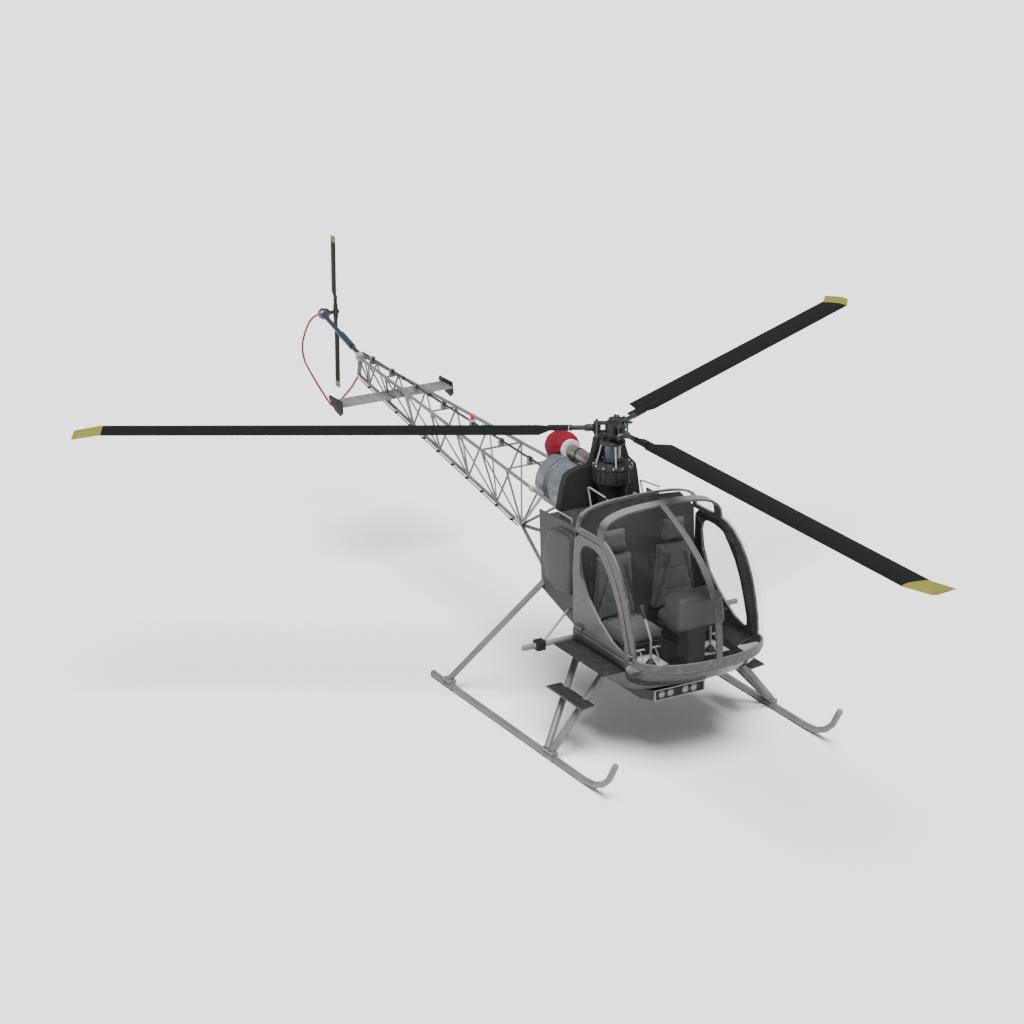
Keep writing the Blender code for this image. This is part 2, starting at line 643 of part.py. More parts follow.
# Tail boom stations: x and z of the upper node, its half width, x and z of the lower node
BOOM_STATIONS = (
    (-1.56, 1.930, 0.272, -1.72, 1.240),
    (-2.13, 1.950, 0.234, -2.22, 1.325),
    (-2.72, 1.970, 0.195, -2.80, 1.423),
    (-3.33, 1.990, 0.154, -3.41, 1.527),
    (-3.92, 2.010, 0.115, -3.98, 1.623),
    (-4.46, 2.029, 0.079, -4.52, 1.715),
    (-4.90, 2.044, 0.050, -4.97, 1.791),
    (-5.17, 2.053, 0.032, -5.22, 1.833),
)
BOOM_FRONT = (-0.20, 1.884, 0.360)
LONGERON = 0.019
BRACE = 0.0115
THIN_BRACE = 0.0095
QUARTER = 0.015
CORNER = (-0.21, 0.53, 1.225)
TWIST = 0.37


def boom_rods(extra=0.0):
    """Every rod of the boom as (start, end, radius), the radius grown by extra."""
    rods = []
    first = BOOM_STATIONS[0]
    last = BOOM_STATIONS[-1]
    for side in (-1, 1):
        upper = [(x, side * half, z) for x, z, half, _, _ in BOOM_STATIONS]
        lower = [(x, 0.0, z) for _, _, _, x, z in BOOM_STATIONS]
        front = (BOOM_FRONT[0], side * BOOM_FRONT[2], BOOM_FRONT[1])
        rods.append((front, upper[-1], LONGERON))
        for low, high in zip(lower, upper):
            rods.append((low, high, BRACE))
        for low, high in zip(lower, upper[1:]):
            rods.append((low, high, THIN_BRACE))
        quarter = Vector(front).lerp(Vector(upper[0]), 0.42)
        rods.append((lower[0], tuple(quarter), QUARTER))
        rods.append((lower[0], (CORNER[0], side * CORNER[1], CORNER[2]), LONGERON))
    rods.append(((first[3] + 0.03, 0, first[4] - 0.005), (last[3] - 0.01, 0, last[4]), LONGERON))
    for x, z, half, _, _ in BOOM_STATIONS:
        rods.append(((x, -half, z), (x, half, z), BRACE))
    rods.append(((last[0], 0, last[1]), (last[3], 0, last[4]), 0.024))
    return [(start, end, radius + extra) for start, end, radius in rods]



def boom_tools(near):
    """The boom's rods grown by the gap, those that near accepts, for cutting a seat."""
    tools = []
    for i, (start, end, radius) in enumerate(boom_rods(2 * GAP)):
        if near(start, end):
            reach = (Vector(end) - Vector(start)).normalized() * 2 * GAP
            tools.append(rod(Vector(start) - reach, Vector(end) + reach, radius, 6, TWIST * i))
    return tools


CASING_Y = -0.035
CASING_LENGTH = 0.135


def tail_casing(extra=0.0):
    """The tail gearbox's casing, grown by extra to cut a seat against it."""
    profile = ((0.0, 0.0), (0.0, 0.050), (0.03, 0.060), (0.09, 0.056), (0.115, 0.034),
               (CASING_LENGTH, 0.0))
    first, last = profile[0][0], profile[-1][0]
    grown_profile = [(first - extra, 0.0), (first - extra, 0.050 + extra)]
    grown_profile += [(along, radius + extra) for along, radius in profile[2:-1]]
    grown_profile.append((last + extra, 0.0))
    hub_x, _, hub_z = TAIL_HUB
    return turned(grown_profile, (hub_x, CASING_Y, hub_z), (0, 1, 0), 16)


SHAFT_RADIUS = 0.013
BEACON_AT = (-2.72, 0.0, 2.0483)
STABILISER = {"x": -4.443, "z": 1.832, "half_span": 0.655, "chord": 0.285, "thick": 0.022}
GUARD = ((-6.150, 2.265), (-6.280, 2.200), (-6.400, 2.105), (-6.505, 1.965), (-6.575, 1.820),
         (-6.580, 1.715), (-6.525, 1.610), (-6.370, 1.513), (-6.240, 1.442), (-6.020, 1.335),
         (-5.910, 1.290), (-5.840, 1.288), (-5.760, 1.325), (-5.594, 1.471), (-5.398, 1.635),
         (-5.255, 1.790))
END_PLATE = ((-4.617, 1.885), (-4.333, 1.890), (-4.312, 1.765), (-4.372, 1.716), (-4.490, 1.742),
             (-4.637, 1.844))


def tail(parent):
    """Lattice boom, drive shaft, beacon, stabiliser, tail rotor support and guard."""
    shaft_start = Vector((-1.0515, 0, 1.978))
    shaft_end = Vector((-5.11, 0, 2.105))
    pieces = [rod(start, end, radius, 6, TWIST * i)
              for i, (start, end, radius) in enumerate(boom_rods())]
    for x, z, half, _, _ in BOOM_STATIONS:
        if x > shaft_end.x:
            pieces.append(box((x - 0.022, -0.024, z - 0.004), (x + 0.022, 0.024, z + 0.078)))
    wall = flat_plate(grown(CENTRE_OUTLINE, GAP), 2.0, (0, 0, 0), "Y")
    room = (shaft_end - shaft_start).normalized() * GAP
    bore = rod(shaft_start - room, shaft_end + room, SHAFT_RADIUS + GAP, 8)
    boom = combined([combined(pieces), wall, bore], "DIFFERENCE")
    solid("tail_boom", boom, "light_grey", parent)
    shaft = rod(shaft_start, shaft_end, SHAFT_RADIUS, 8)
    solid("tail_drive_shaft", shaft, "steel_blue", parent)
    beacon = turned(((0.0, 0.0), (0.0, 0.030), (0.006, 0.030), (0.008, 0.024), (0.055, 0.022),
                     (0.063, 0.014), (0.065, 0.0)), BEACON_AT, (0, 0, 1), 12)
    solid("beacon", beacon, "lamp_red", parent)
    s = STABILISER
    half_chord = s["chord"] / 2
    wing = []
    for share, thick in ((-1.0, 0.15), (-0.75, 0.75), (-0.35, 1.0), (0.4, 0.7), (1.0, 0.1)):
        wing.append((-share * half_chord, thick * s["thick"] / 2))
    section = wing + [(x, -z) for x, z in reversed(wing)]
    plane = flat_plate(section, 2 * s["half_span"], (s["x"], 0, s["z"]), "Y")
    near = boom_tools(lambda start, end: min(start[0], end[0]) < -4.1)
    plane = combined([plane] + near, "DIFFERENCE")
    solid("stabiliser", plane, "light_grey", parent)
    for side, name in ((-1, "starboard"), (1, "port")):
        edge = side * (s["half_span"] + 0.006 + GAP)
        plate = flat_plate(END_PLATE, 0.012, (0, edge, 0), "Y")
        solid("end_plate_" + name, plate, "dark_grey", parent)
    support = combined([rod((-5.15, 0, 2.048), (-6.02, 0, 2.282), 0.026, 10),
                        rod((-5.36, 0, 2.105), (-5.62, 0, 2.175), 0.038, 10)])
    end_rods = boom_tools(lambda start, end: min(start[0], end[0]) < -5.1)
    support = combined([support, tail_casing(GAP)] + end_rods, "DIFFERENCE")
    solid("tail_rotor_support", support, "steel_blue", parent)
    hub_x, _, hub_z = TAIL_HUB
    solid("tail_gearbox", tail_casing(), "steel_blue", parent)
    guard = [(hub_x - 0.045, 0, hub_z - 0.004)] + [(x, 0, z) for x, z in GUARD]
    loop = combined([bent_tube(guard, 0.013, 1), tail_casing(GAP)], "DIFFERENCE")
    solid("tail_guard", loop, "guard_red", parent)


# Legs and boards: where the legs meet the skid and the tub, y and z, and a board's reach
FRONT_LEGS = ((0.885, 0.455), (0.965, 0.985))
STEP = {"rear_x": 0.53, "front_x": 1.145, "inner_y": 0.878, "outer_y": 1.038, "top": 0.55,
        "slant": 0.38}
LEG_TOP = (0.62, 0.848)
PLATE_OUT = SIDE_Y + 0.008 + GAP
FOOTBOARD = {"front_x": 1.30, "outer_y": 0.885, "top": 0.910}
BAR_RADIUS = 0.028
BAR_AT = (0.3720, 0.905)


def step_plate(side):
    """The step outside the front legs, its front edge slanted the same way on both sides."""
    s = STEP
    outline = []
    for y in sorted((side * s["inner_y"], side * s["outer_y"])):
        front_x = s["front_x"] - s["slant"] * (y - side * s["inner_y"]) * 0.5
        outline.append((s["rear_x"], front_x, y))
    bm = bmesh.new()
    loops = []
    for z in (s["top"] - 0.016, s["top"]):
        (rear_a, front_a, y_a), (rear_b, front_b, y_b) = outline
        corners = ((rear_a, y_a), (front_a, y_a), (front_b, y_b), (rear_b, y_b))
        loops.append([bm.verts.new((x, y, z)) for x, y in corners])
    bm.faces.new(loops[0])
    bm.faces.new(loops[1])
    for i in range(4):
        j = (i + 1) % 4
        bm.faces.new((loops[0][i], loops[0][j], loops[1][j], loops[1][i]))
    return from_bmesh(bm)


def landing_gear(parent):
    """Skids, legs with steps, footboards and outriggers, both sides alike."""
    skid_points = [(-1.336, SKID_RADIUS), (1.56, SKID_RADIUS), (1.74, 0.055), (1.88, 0.115),
                   (1.99, 0.205), (2.10, 0.386)]
    top = 2 * SKID_RADIUS + GAP
    for side, name in ((-1, "starboard"), (1, "port")):
        y = side * SKID_Y
        skid = bent_tube([(x, y, z) for x, z in skid_points], SKID_RADIUS, 2)
        solid("skid_" + name, skid, "light_grey", parent)
        shoe = box((0.83, y - 0.030, top), (1.03, y + 0.030, top + 0.030))
        foot = top + 0.020
        legs = [rod((foot_x, y, foot), (x, side * LEG_TOP[0], LEG_TOP[1]), LEG_RADIUS)
                for foot_x, x in FRONT_LEGS]
        under = box((0.5, y - 0.1, top - 0.1), (1.5, y + 0.1, top))
        legs = [combined([leg, under.copy()], "DIFFERENCE") for leg in legs]
        front = combined([shoe] + legs + [step_plate(side)])
        front = combined([front, tub_block(SEAT_GAP)], "DIFFERENCE")
        solid("front_leg_" + name, front, "light_grey", parent)
        rear_shoe = box((-1.07, y - 0.035, top), (-0.93, y + 0.035, top + 0.035))
        rear = rod((-1.0, y, foot + 0.010), (-0.25, side * 0.59, 1.265), REAR_LEG_RADIUS)
        inside = box((-1.0, -PLATE_OUT, 0.5), (1.0, PLATE_OUT, 2.0))
        solid("rear_leg_" + name, combined([combined([rear_shoe, rear]), inside], "DIFFERENCE"),
              "light_grey", parent)
        inner, outer = sorted((side * 0.60, side * FOOTBOARD["outer_y"]))
        board = box((BULKHEAD_X, inner, FOOTBOARD["top"] - 0.02),
                    (FOOTBOARD["front_x"], outer, FOOTBOARD["top"]))
        board = combined([board, tub_block(SEAT_GAP)], "DIFFERENCE")
        solid("footboard_" + name, board, "dark_grey", parent)
    bar = [rod((BAR_AT[0], -1.20, BAR_AT[1]), (BAR_AT[0], 1.20, BAR_AT[1]), BAR_RADIUS, 10)]
    for side in (-1, 1):
        bar.append(box((BAR_AT[0] - 0.045, side * 1.02 - 0.045, BAR_AT[1] - 0.045),
                       (BAR_AT[0] + 0.045, side * 1.02 + 0.045, BAR_AT[1] + 0.045)))
        bar.append(rod((BAR_AT[0], side * 1.0, BAR_AT[1]), (0.22, side * 0.60, 1.14), 0.012, 6))
    inside = box((-1.0, -PLATE_OUT, BAR_AT[1] + BAR_RADIUS), (1.0, PLATE_OUT, 2.0))
    solid("outrigger_bar", combined([combined(bar), inside], "DIFFERENCE"), "light_grey", parent)
    solid("landing_light_box", light_box(), "hull_grey", parent)


# Light box under the nose, from above: x and half width at its top and at its bottom
BOX_TOP = ((0.55, 0.470), (1.06, 0.450), (1.235, 0.276))
BOX_BOTTOM = ((0.62, 0.360), (1.12, 0.350), (1.215, 0.276))
BOX_LEVELS = (0.485, 0.5997)


def light_box():
    """The box that carries the landing lights: straight front, slanted cheeks, drawn in below."""
    bm = bmesh.new()
    loops = []
    for level, half in zip(BOX_LEVELS, (BOX_BOTTOM, BOX_TOP)):
        corners = [(x, y) for x, y in half] + [(x, -y) for x, y in reversed(half)]
        loops.append([bm.verts.new((x, y, level)) for x, y in corners])
    count = len(loops[0])
    bm.faces.new(loops[0])
    bm.faces.new(loops[1])
    for i in range(count):
        j = (i + 1) % count
        bm.faces.new((loops[0][i], loops[0][j], loops[1][j], loops[1][i]))
    bmesh.ops.triangulate(bm, faces=bm.faces)
    return from_bmesh(bm)


def blade_section(chord, thickness):
    """A simple aerofoil across a blade: distance behind the pitch axis, and height."""
    shares = ((-0.25, 0.0), (-0.17, 0.6), (0.0, 1.0), (0.3, 0.75), (0.75, 0.0))
    upper = [(share * chord, up * thickness / 2) for share, up in shares]
    lower = [(share * chord, -up * thickness / 2) for share, up in reversed(shares[1:-1])]
    return upper + lower


def blade(length_table, thickness):
    """A blade lofted along +X from (radius, chord, height, sweep) rows."""
    bm = bmesh.new()
    loops = []
    for radius, chord, lift, sweep in length_table:
        loops.append([bm.verts.new((radius, behind + sweep, up + lift))
                      for behind, up in blade_section(chord, thickness)])
    for a, b in zip(loops, loops[1:]):
        for i in range(len(a)):
            j = (i + 1) % len(a)
            bm.faces.new((a[i], a[j], b[j], b[i]))
    bm.faces.new(loops[0])
    bm.faces.new(loops[-1])
    bmesh.ops.triangulate(bm, faces=bm.faces)
    return from_bmesh(bm)


MAIN_BLADE = ((0.427, 0.12, 0.0, 0.0), (0.60, 0.12, 0.0, 0.0), (0.70, 0.29, 0.0, 0.0),
              (4.86, 0.29, 0.0, 0.0), (ROTOR_RADIUS, 0.27, -0.01, 0.105))
TAIL_BLADE = ((0.1405, 0.04, 0.0, 0.0), (0.22, 0.115, 0.0, 0.0), (TAIL_RADIUS, 0.115, 0.0, 0.0))
# At rest each blade hangs or rides a little on its hinge: turn about the mast, rise, lag
BLADE_REST = ((0, 1.1, -1.35), (120, -0.6, -1.5), (240, -0.55, -1.3))
HINGE_RADIUS = 0.42


def main_rotor(parent):
    """Hub with three arms and pins, the pitch plate under it, and three blades."""
    arms = []
    for turn in (0, 120, 240):
        way = Vector((cos(radians(turn)), sin(radians(turn)), 0))
        across = Vector((-way.y, way.x, 0))
        arms.append(rod(way * 0.03, way * 0.42, 0.026, 8, 0.2))
        pin = way * 0.155 + across * 0.062
        arms.append(rod(pin + Vector((0, 0, -0.070)), pin + Vector((0, 0, 0.078)), 0.018, 8, 0.1))
        damper = way * 0.225
        arms.append(rod(damper - across * 0.085, damper + across * 0.012, 0.019, 8, 0.3))
    plates = turned(((-0.055, 0.0), (-0.055, 0.180), (-0.034, 0.190), (-0.034, 0.110),
                     (0.034, 0.110), (0.034, 0.190), (0.052, 0.180), (0.055, 0.050),
                     (0.100, 0.045), (0.100, 0.0)), (0, 0, 0), (0, 0, 1), 20)
    mast = rod((0, 0, SLEEVE_TOP + GAP - ROTOR_Z), (0, 0, -0.03), 0.040, 14, 0.05)
    solid("rotor_hub", combined([plates, mast] + arms), "dark_grey", parent)
    rods = [turned(((-0.150, 0.090), (-0.150, 0.14), (-0.120, 0.14), (-0.120, 0.090),
                    (-0.150, 0.090)), (0, 0, 0), (0, 0, 1), 18)]
    for turn in (30, 150, 270):
        way = Vector((cos(radians(turn)), sin(radians(turn)), 0)) * 0.125
        rods.append(rod(way + Vector((0, 0, -0.14)), way + Vector((0, 0, -0.0553)), 0.010, 6))
    solid("pitch_plate", combined(rods), "steel_blue", parent)
    for number, (turn, rise, lag) in enumerate(BLADE_REST, 1):
        mesh = blade(MAIN_BLADE, 0.036)
        grip = rod((HINGE_RADIUS + 0.0013, 0, 0), (0.62, 0, 0), 0.030, 8)
        mesh = combined([mesh, grip])
        hinge = Matrix.Translation((HINGE_RADIUS, 0, 0))
        swing = Matrix.Rotation(radians(lag), 4, "Z") @ Matrix.Rotation(-radians(rise), 4, "Y")
        mesh.transform(hinge @ swing @ hinge.inverted())
        mesh.transform(Matrix.Rotation(radians(turn), 4, "Z"))
        solid("main_blade_%d" % number, mesh, "blade_black", parent)


def tail_rotor(parent):
    """Hub on its shaft, and two blades, turning about the Y axis."""
    gearbox_end = CASING_Y + CASING_LENGTH - TAIL_HUB[1]
    hub = combined([rod((0, gearbox_end + GAP, 0), (0, 0.04, 0), 0.022, 12),
                    rod((0, 0, -0.14), (0, 0, 0.14), 0.020, 8)])
    solid("tail_rotor_hub", hub, "dark_grey", parent)
    for number, turn in enumerate((0, 180), 1):
        mesh = blade(TAIL_BLADE, 0.016)
        mesh.transform(Matrix.Rotation(-pi / 2, 4, "Y"))
        mesh.transform(Matrix.Rotation(pi / 2, 4, "Z"))
        mesh.transform(Matrix.Rotation(radians(turn), 4, "Y"))
        solid("tail_blade_%d" % number, mesh, "blade_black", parent)


def main():
    for piece in list(bpy.data.objects):
        bpy.data.objects.remove(piece)
    mast = empty("mast_foot", (MAST_X, 0, 0))
    cabin_frame(mast)
    windscreens(mast)
    lower_cabin(mast)
    cabin_inside(mast)
    hinge_x, hinge_y = HINGE_AT
    doors({"starboard": empty("hinge_starboard", (hinge_x, -hinge_y, 0), mast),
           "port": empty("hinge_port", (hinge_x, hinge_y, 0), mast)})
    centre_section(mast)
    drive_and_engine(mast)
    tail(mast)
    landing_gear(mast)
    main_rotor(empty("rotor_axis", (0, 0, ROTOR_Z), mast))
    tail_rotor(empty("tail_rotor_axis", TAIL_HUB, mast))


main()
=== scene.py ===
# %% [markdown]
# Dressing a light helicopter
#
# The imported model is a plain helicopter: a bubble cabin on skids, an open boom of welded tubes,
# a main rotor with three blades and a tail rotor. Everything is in metres, +X to the nose,
# +Y to port and +Z up. The lesson keeps those shapes, gives each a finish, and adds the parts
# that a plain model leaves out, such as padded seats, fittings, lamps and clamps.

# %% Load the frame
from math import cos, pi, radians, sin

import bmesh
import bpy
from mathutils import Matrix, Vector
from mathutils.bvhtree import BVHTree


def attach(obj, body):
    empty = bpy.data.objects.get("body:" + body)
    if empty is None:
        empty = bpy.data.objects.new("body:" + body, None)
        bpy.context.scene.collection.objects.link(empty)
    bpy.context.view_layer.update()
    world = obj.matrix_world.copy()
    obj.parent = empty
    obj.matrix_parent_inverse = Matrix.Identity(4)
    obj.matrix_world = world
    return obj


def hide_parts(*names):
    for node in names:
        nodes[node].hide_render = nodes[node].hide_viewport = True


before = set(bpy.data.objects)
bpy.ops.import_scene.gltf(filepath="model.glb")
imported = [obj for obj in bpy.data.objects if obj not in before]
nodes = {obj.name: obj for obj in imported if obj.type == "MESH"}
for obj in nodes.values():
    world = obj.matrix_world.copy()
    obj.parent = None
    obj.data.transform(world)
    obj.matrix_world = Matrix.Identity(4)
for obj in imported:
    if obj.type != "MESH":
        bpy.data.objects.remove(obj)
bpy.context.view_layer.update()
MAST_X = 0.745
AHEAD, AFT, PORT, STARBOARD, UP = (1, 0, 0), (-1, 0, 0), (0, 1, 0), (0, -1, 0), (0, 0, 1)


def at(x, y, z):
    """A place given by its distance ahead of the mast."""
    return Vector((x + MAST_X, y, z))


# %% [markdown]
# The camera stands ahead of the starboard door and well above the cabin. A long lens from
# thirty metres keeps the boom and blades almost free of perspective. Its place was found by
# fitting the skids, boom and rotor disc, so here it is simply set.

# %% Camera
CAMERA_AT = Vector((26.721, -16.078, 13.278))
LOOK_AT = Vector((0.268, -0.828, 1.929))
LENS_MM = 120.03
SENSOR_MM = 36
FAR_CLIP = 300
lens = bpy.data.cameras.new("camera")
lens.lens = LENS_MM
lens.sensor_width = SENSOR_MM
lens.clip_end = FAR_CLIP
camera = bpy.data.objects.new("camera", lens)
camera.location = CAMERA_AT
camera.rotation_euler = (LOOK_AT - CAMERA_AT).to_track_quat("-Z", "Y").to_euler()
bpy.context.scene.collection.objects.link(camera)
bpy.context.scene.camera = camera
print("camera stands", round((LOOK_AT - CAMERA_AT).length, 1), "m away")

# %% [markdown]
# Shader sums are easier to read as sums. One small class wraps a number socket and turns
# +, -, *, powers and comparisons into Math nodes. A second class holds one finish: its
# material, and one method that adds any other node. Places come from Object coordinates,
# which here are metres on the machine, so a scale of 100 makes spots about a centimetre
# across.


# %% Shader sums
class Value:
    """A number socket that takes part in sums."""

    def __init__(self, finish, socket):
        self.finish = finish
        self.socket = socket

    def step(self, operation, first, second):
        """One Math node."""
        return self.finish.put("ShaderNodeMath", {"operation": operation}, {0: first, 1: second})

    def __add__(self, other):
        return self.step("ADD", self, other)

    def __radd__(self, other):
        return self.step("ADD", other, self)

    def __sub__(self, other):
        return self.step("SUBTRACT", self, other)

    def __rsub__(self, other):
        return self.step("SUBTRACT", other, self)

    def __mul__(self, other):
        return self.step("MULTIPLY", self, other)

    def __gt__(self, other):
        return self.step("GREATER_THAN", self, other)

    def __lt__(self, other):
        return self.step("LESS_THAN", self, other)

    def __pow__(self, other):
        return self.step("POWER", self, other)


class Finish:
    """One procedural material and the record's slot that it belongs to."""

    def __init__(self, name, slot, **constants):
        self.slot = slot
        self.material = bpy.data.materials.new(name)
        self.material.use_nodes = True
        self.tree = self.material.node_tree
        self.shader = self.tree.nodes["Principled BSDF"]
        for socket, value in constants.items():
            self.shader.inputs[socket.replace("_", " ")].default_value = value
        self.place = self.put("ShaderNodeTexCoord", output="Object")

    def put(self, kind, settings=None, inputs=None, output=0):
        """Adds a node: first its settings, then the values or links of its sockets."""
        node = self.tree.nodes.new(kind)
        for key, value in (settings or {}).items():
            setattr(node, key, value)
        for key, value in (inputs or {}).items():
            self.feed(node.inputs[key], value)
        return Value(self, node.outputs[output])

    def feed(self, socket, value):
        """Links a socket, or sets it."""
        if isinstance(value, Value):
            self.tree.links.new(value.socket, socket)
        elif isinstance(value, tuple) and socket.type == "RGBA":
            socket.default_value = (*value, 1.0)
        else:
            socket.default_value = value

    def noise(self, scale, detail, stretch=None):
        """Cloudy values around a half, spots about 1 / scale metres across."""
        place = self.place
        if stretch:
            place = self.put("ShaderNodeMapping", None, {"Vector": place, "Scale": stretch})
        return self.put("ShaderNodeTexNoise", None,
                        {"Vector": place, "Scale": scale, "Detail": detail})

    def soft_step(self, value, low, high):
        """0 below low, 1 above high, and a smooth rise between."""
        settings = {"interpolation_type": "SMOOTHSTEP"}
        return self.put("ShaderNodeMapRange", settings, {0: value, 1: low, 2: high})

    def blend(self, share, first, second):
        """One colour turning into another."""
        return self.put("ShaderNodeMix", {"data_type": "RGBA"}, {0: share, 6: first, 7: second}, 2)

    def axes(self, vector=None):
        """The three parts along X, Y and Z of a vector, or of the place."""
        node = self.put("ShaderNodeSeparateXYZ", None, {0: vector or self.place}).socket.node
        return [Value(self, socket) for socket in node.outputs]

    def cover(self, colour, roughness=None, height=None, depth=0.001, strength=0.3):
        """Feeds what changes over the surface to the shader."""
        self.feed(self.shader.inputs["Base Color"], colour)
        if roughness is not None:
            self.feed(self.shader.inputs["Roughness"], roughness)
        if height is not None:
            bump = self.put("ShaderNodeBump", None,
                            {"Height": height, "Distance": depth, "Strength": strength})
            self.feed(self.shader.inputs["Normal"], bump)
        return self


def shade(colour, share):
    """A colour made darker or lighter."""
    return tuple(min(1.0, channel * share) for channel in colour)


print("shader helpers ready")

# %% [markdown]
# Paint on an aircraft that works outdoors is never one even colour. Broad clouds of dust and
# fading lie over it, a fine orange-peel texture breaks up its gloss, and small chips show the
# primer or bare metal. On the cabin frame, faces that look up turn paler: a painted highlight
# for the light from above. The same recipe with other numbers makes every painted finish here.

# %% Painted metal
PRIMER = (0.32, 0.32, 0.33)
DUST = (0.30, 0.29, 0.27)
TOP_HIGHLIGHT_GREY = (0.20, 0.205, 0.225)
CLOUDS_PER_M, SPOTS_PER_M, CHIPS_PER_M, PEEL_PER_M = 2.6, 21.0, 74.0, 420.0


def painted(name, slot, colour, roughness, chips=0.35, dusty=0.16, top_highlight=0.0, **constants):
    """Paint with fading, dust, orange peel and small chips, and a painted highlight where it faces
    up.
    """
    paint = Finish(name, slot, **constants)
    clouds = paint.soft_step(paint.noise(CLOUDS_PER_M, 5.0), 0.36, 0.66)
    spots = paint.soft_step(paint.noise(SPOTS_PER_M, 6.0), 0.50, 0.72)
    worn = paint.soft_step(paint.noise(CHIPS_PER_M, 8.0), 0.655, 0.70)
    peel = paint.noise(PEEL_PER_M, 2.0)
    faded = paint.blend(clouds, shade(colour, 0.86), shade(colour, 1.10))
    dust_and_top_light = paint.blend(spots * dusty, faded, DUST)
    # Faces that look up blend towards a paler grey: a painted highlight for the light from above.
    if top_highlight:
        upward = paint.axes(paint.put("ShaderNodeTexCoord", output="Normal"))[2]
        top = paint.soft_step(upward, 0.45, 0.95)
        dust_and_top_light = paint.blend(top * top_highlight, dust_and_top_light, TOP_HIGHLIGHT_GREY)
    chipped = paint.blend(worn * chips, dust_and_top_light, PRIMER)
    rough = roughness + (clouds - 0.5) * 0.10 + spots * 0.12 + worn * 0.1
    return paint.cover(chipped, rough, peel * 0.5 - worn * 0.6, 0.0006, 0.25)


TUBE_COLOUR = (0.125, 0.124, 0.131)
STEP_COLOUR = (0.0190, 0.0188, 0.0185)
tube_grey = painted("tube_paint", "light_grey", TUBE_COLOUR, 0.44, Metallic=0.1)
# The cabin frame carries the painted highlight on its upward faces.
frame_grey = painted("frame_paint", "light_grey", (0.040, 0.040, 0.044), 0.40, chips=0.12,
                     top_highlight=0.7, Specular_IOR_Level=0.45)
hull_grey = painted("hull_paint", "hull_grey", (0.030, 0.0302, 0.0312), 0.5, chips=0.12, dusty=0.06,
                    Specular_IOR_Level=0.25)
tub_grey = painted("tub_paint", "hull_grey", (0.060, 0.061, 0.065), 0.48, chips=0.10, dusty=0.08,
                   Specular_IOR_Level=0.4)
board_grey = painted("board_paint", "dark_grey", STEP_COLOUR, 0.7, dusty=0.05,
                    chips=0.12, Specular_IOR_Level=0.18)
metal_dark = painted("cast_metal", "dark_grey", (0.022, 0.0223, 0.0235), 0.55, dusty=0.08,
                     chips=0.12, Metallic=0.3, Specular_IOR_Level=0.3)
guard_red = painted("guard_paint", "guard_red", (0.185, 0.0025, 0.018), 0.42, chips=0.1,
                    Specular_IOR_Level=0.3)
fire_black = painted("firewall_paint", "firewall_black", (0.0210, 0.0212, 0.0215), 0.75, dusty=0.02,
                     chips=0.03, Specular_IOR_Level=0.15)
trim_black = painted("black_trim", "dark_grey", (0.0065, 0.0067, 0.0072), 0.55, dusty=0.03,
                     chips=0.05, Specular_IOR_Level=0.25)
pod_grey = painted("pod_moulding", "dark_grey", (0.028, 0.0305, 0.033), 0.5, chips=0.0, dusty=0.04,
                   Specular_IOR_Level=0.4)
wall_grey = painted("cabin_wall_paint", "dark_grey", (0.038, 0.042, 0.042), 0.6, chips=0.05,
                    dusty=0.04, Specular_IOR_Level=0.25)
white_paint = painted("white_paint", "light_grey", (0.50, 0.52, 0.52), 0.45, dusty=0.1)
pale_grey = painted("pale_paint", "light_grey", (0.27, 0.275, 0.29), 0.40, chips=0.2)
print("painted finishes:", len(bpy.data.materials))

# %% [markdown]
# Each front leg carries a dark step. It is one solid with the leg, so the leg's paint turns dark
# where the place lies inside the step's thin slab outside the legs.

# %% Paint of the legs and steps
STEP_NEAR, STEP_FAR = 0.874, 1.05
STEP_UNDER, STEP_OVER = 0.5325, 0.5515
leg_grey = painted("leg_paint", "light_grey", TUBE_COLOUR, 0.44, Metallic=0.1)
_, leg_y, leg_z = leg_grey.axes()
outside = leg_y * leg_y > STEP_NEAR ** 2
level = (leg_z > STEP_UNDER) * (leg_z < STEP_OVER)
on_step = outside * level * (leg_y * leg_y < STEP_FAR ** 2)
plain = Value(leg_grey, leg_grey.shader.inputs["Base Color"].links[0].from_socket)
leg_grey.cover(leg_grey.blend(on_step, plain, STEP_COLOUR))

# %% [markdown]
# The engine's casings and the tubes round the mast are bare bluish metal. Brushed metal has
# fine streaks along one direction, so the noise is stretched. Heat leaves a brown bloom on the
# exhaust pipe, which is painted here as clouds between two colours.


# %% Bare metal
def bare_metal(name, slot, colour, bloom, stretch, roughness=0.34, metallic=0.75):
    """Brushed metal with a stain that comes and goes."""
    metal = Finish(name, slot, Metallic=metallic)
    streaks = metal.noise(60.0, 4.0, stretch)
    stain = metal.soft_step(metal.noise(7.0, 5.0), 0.42, 0.68)
    grain = metal.noise(300.0, 2.0)
    brushed = metal.blend(streaks, shade(colour, 0.8), shade(colour, 1.2))
    stained = metal.blend(stain, brushed, bloom)
    rough = roughness + (streaks - 0.5) * 0.25 + stain * 0.12
    return metal.cover(stained, rough, streaks * 0.6 + grain * 0.4, 0.0004, 0.2)


steel_blue = bare_metal("blued_metal", "steel_blue", (0.070, 0.083, 0.098), (0.05, 0.059, 0.070),
                        (1.0, 6.0, 6.0))
drum_steel = bare_metal("drum_metal", "steel_blue", (0.150, 0.168, 0.184), (0.11, 0.127, 0.142),
                        (9.0, 1.0, 1.0), 0.40, 0.4)
pipe_metal = bare_metal("exhaust_metal", "steel_blue", (0.24, 0.215, 0.205), (0.12, 0.085, 0.078),
                        (1.0, 5.0, 5.0), 0.38)
bright_metal = bare_metal("bright_metal", "steel_blue", (0.52, 0.53, 0.55), (0.38, 0.38, 0.39),
                          (4.0, 1.0, 1.0), 0.26, 0.9)
print("bare metals ready")

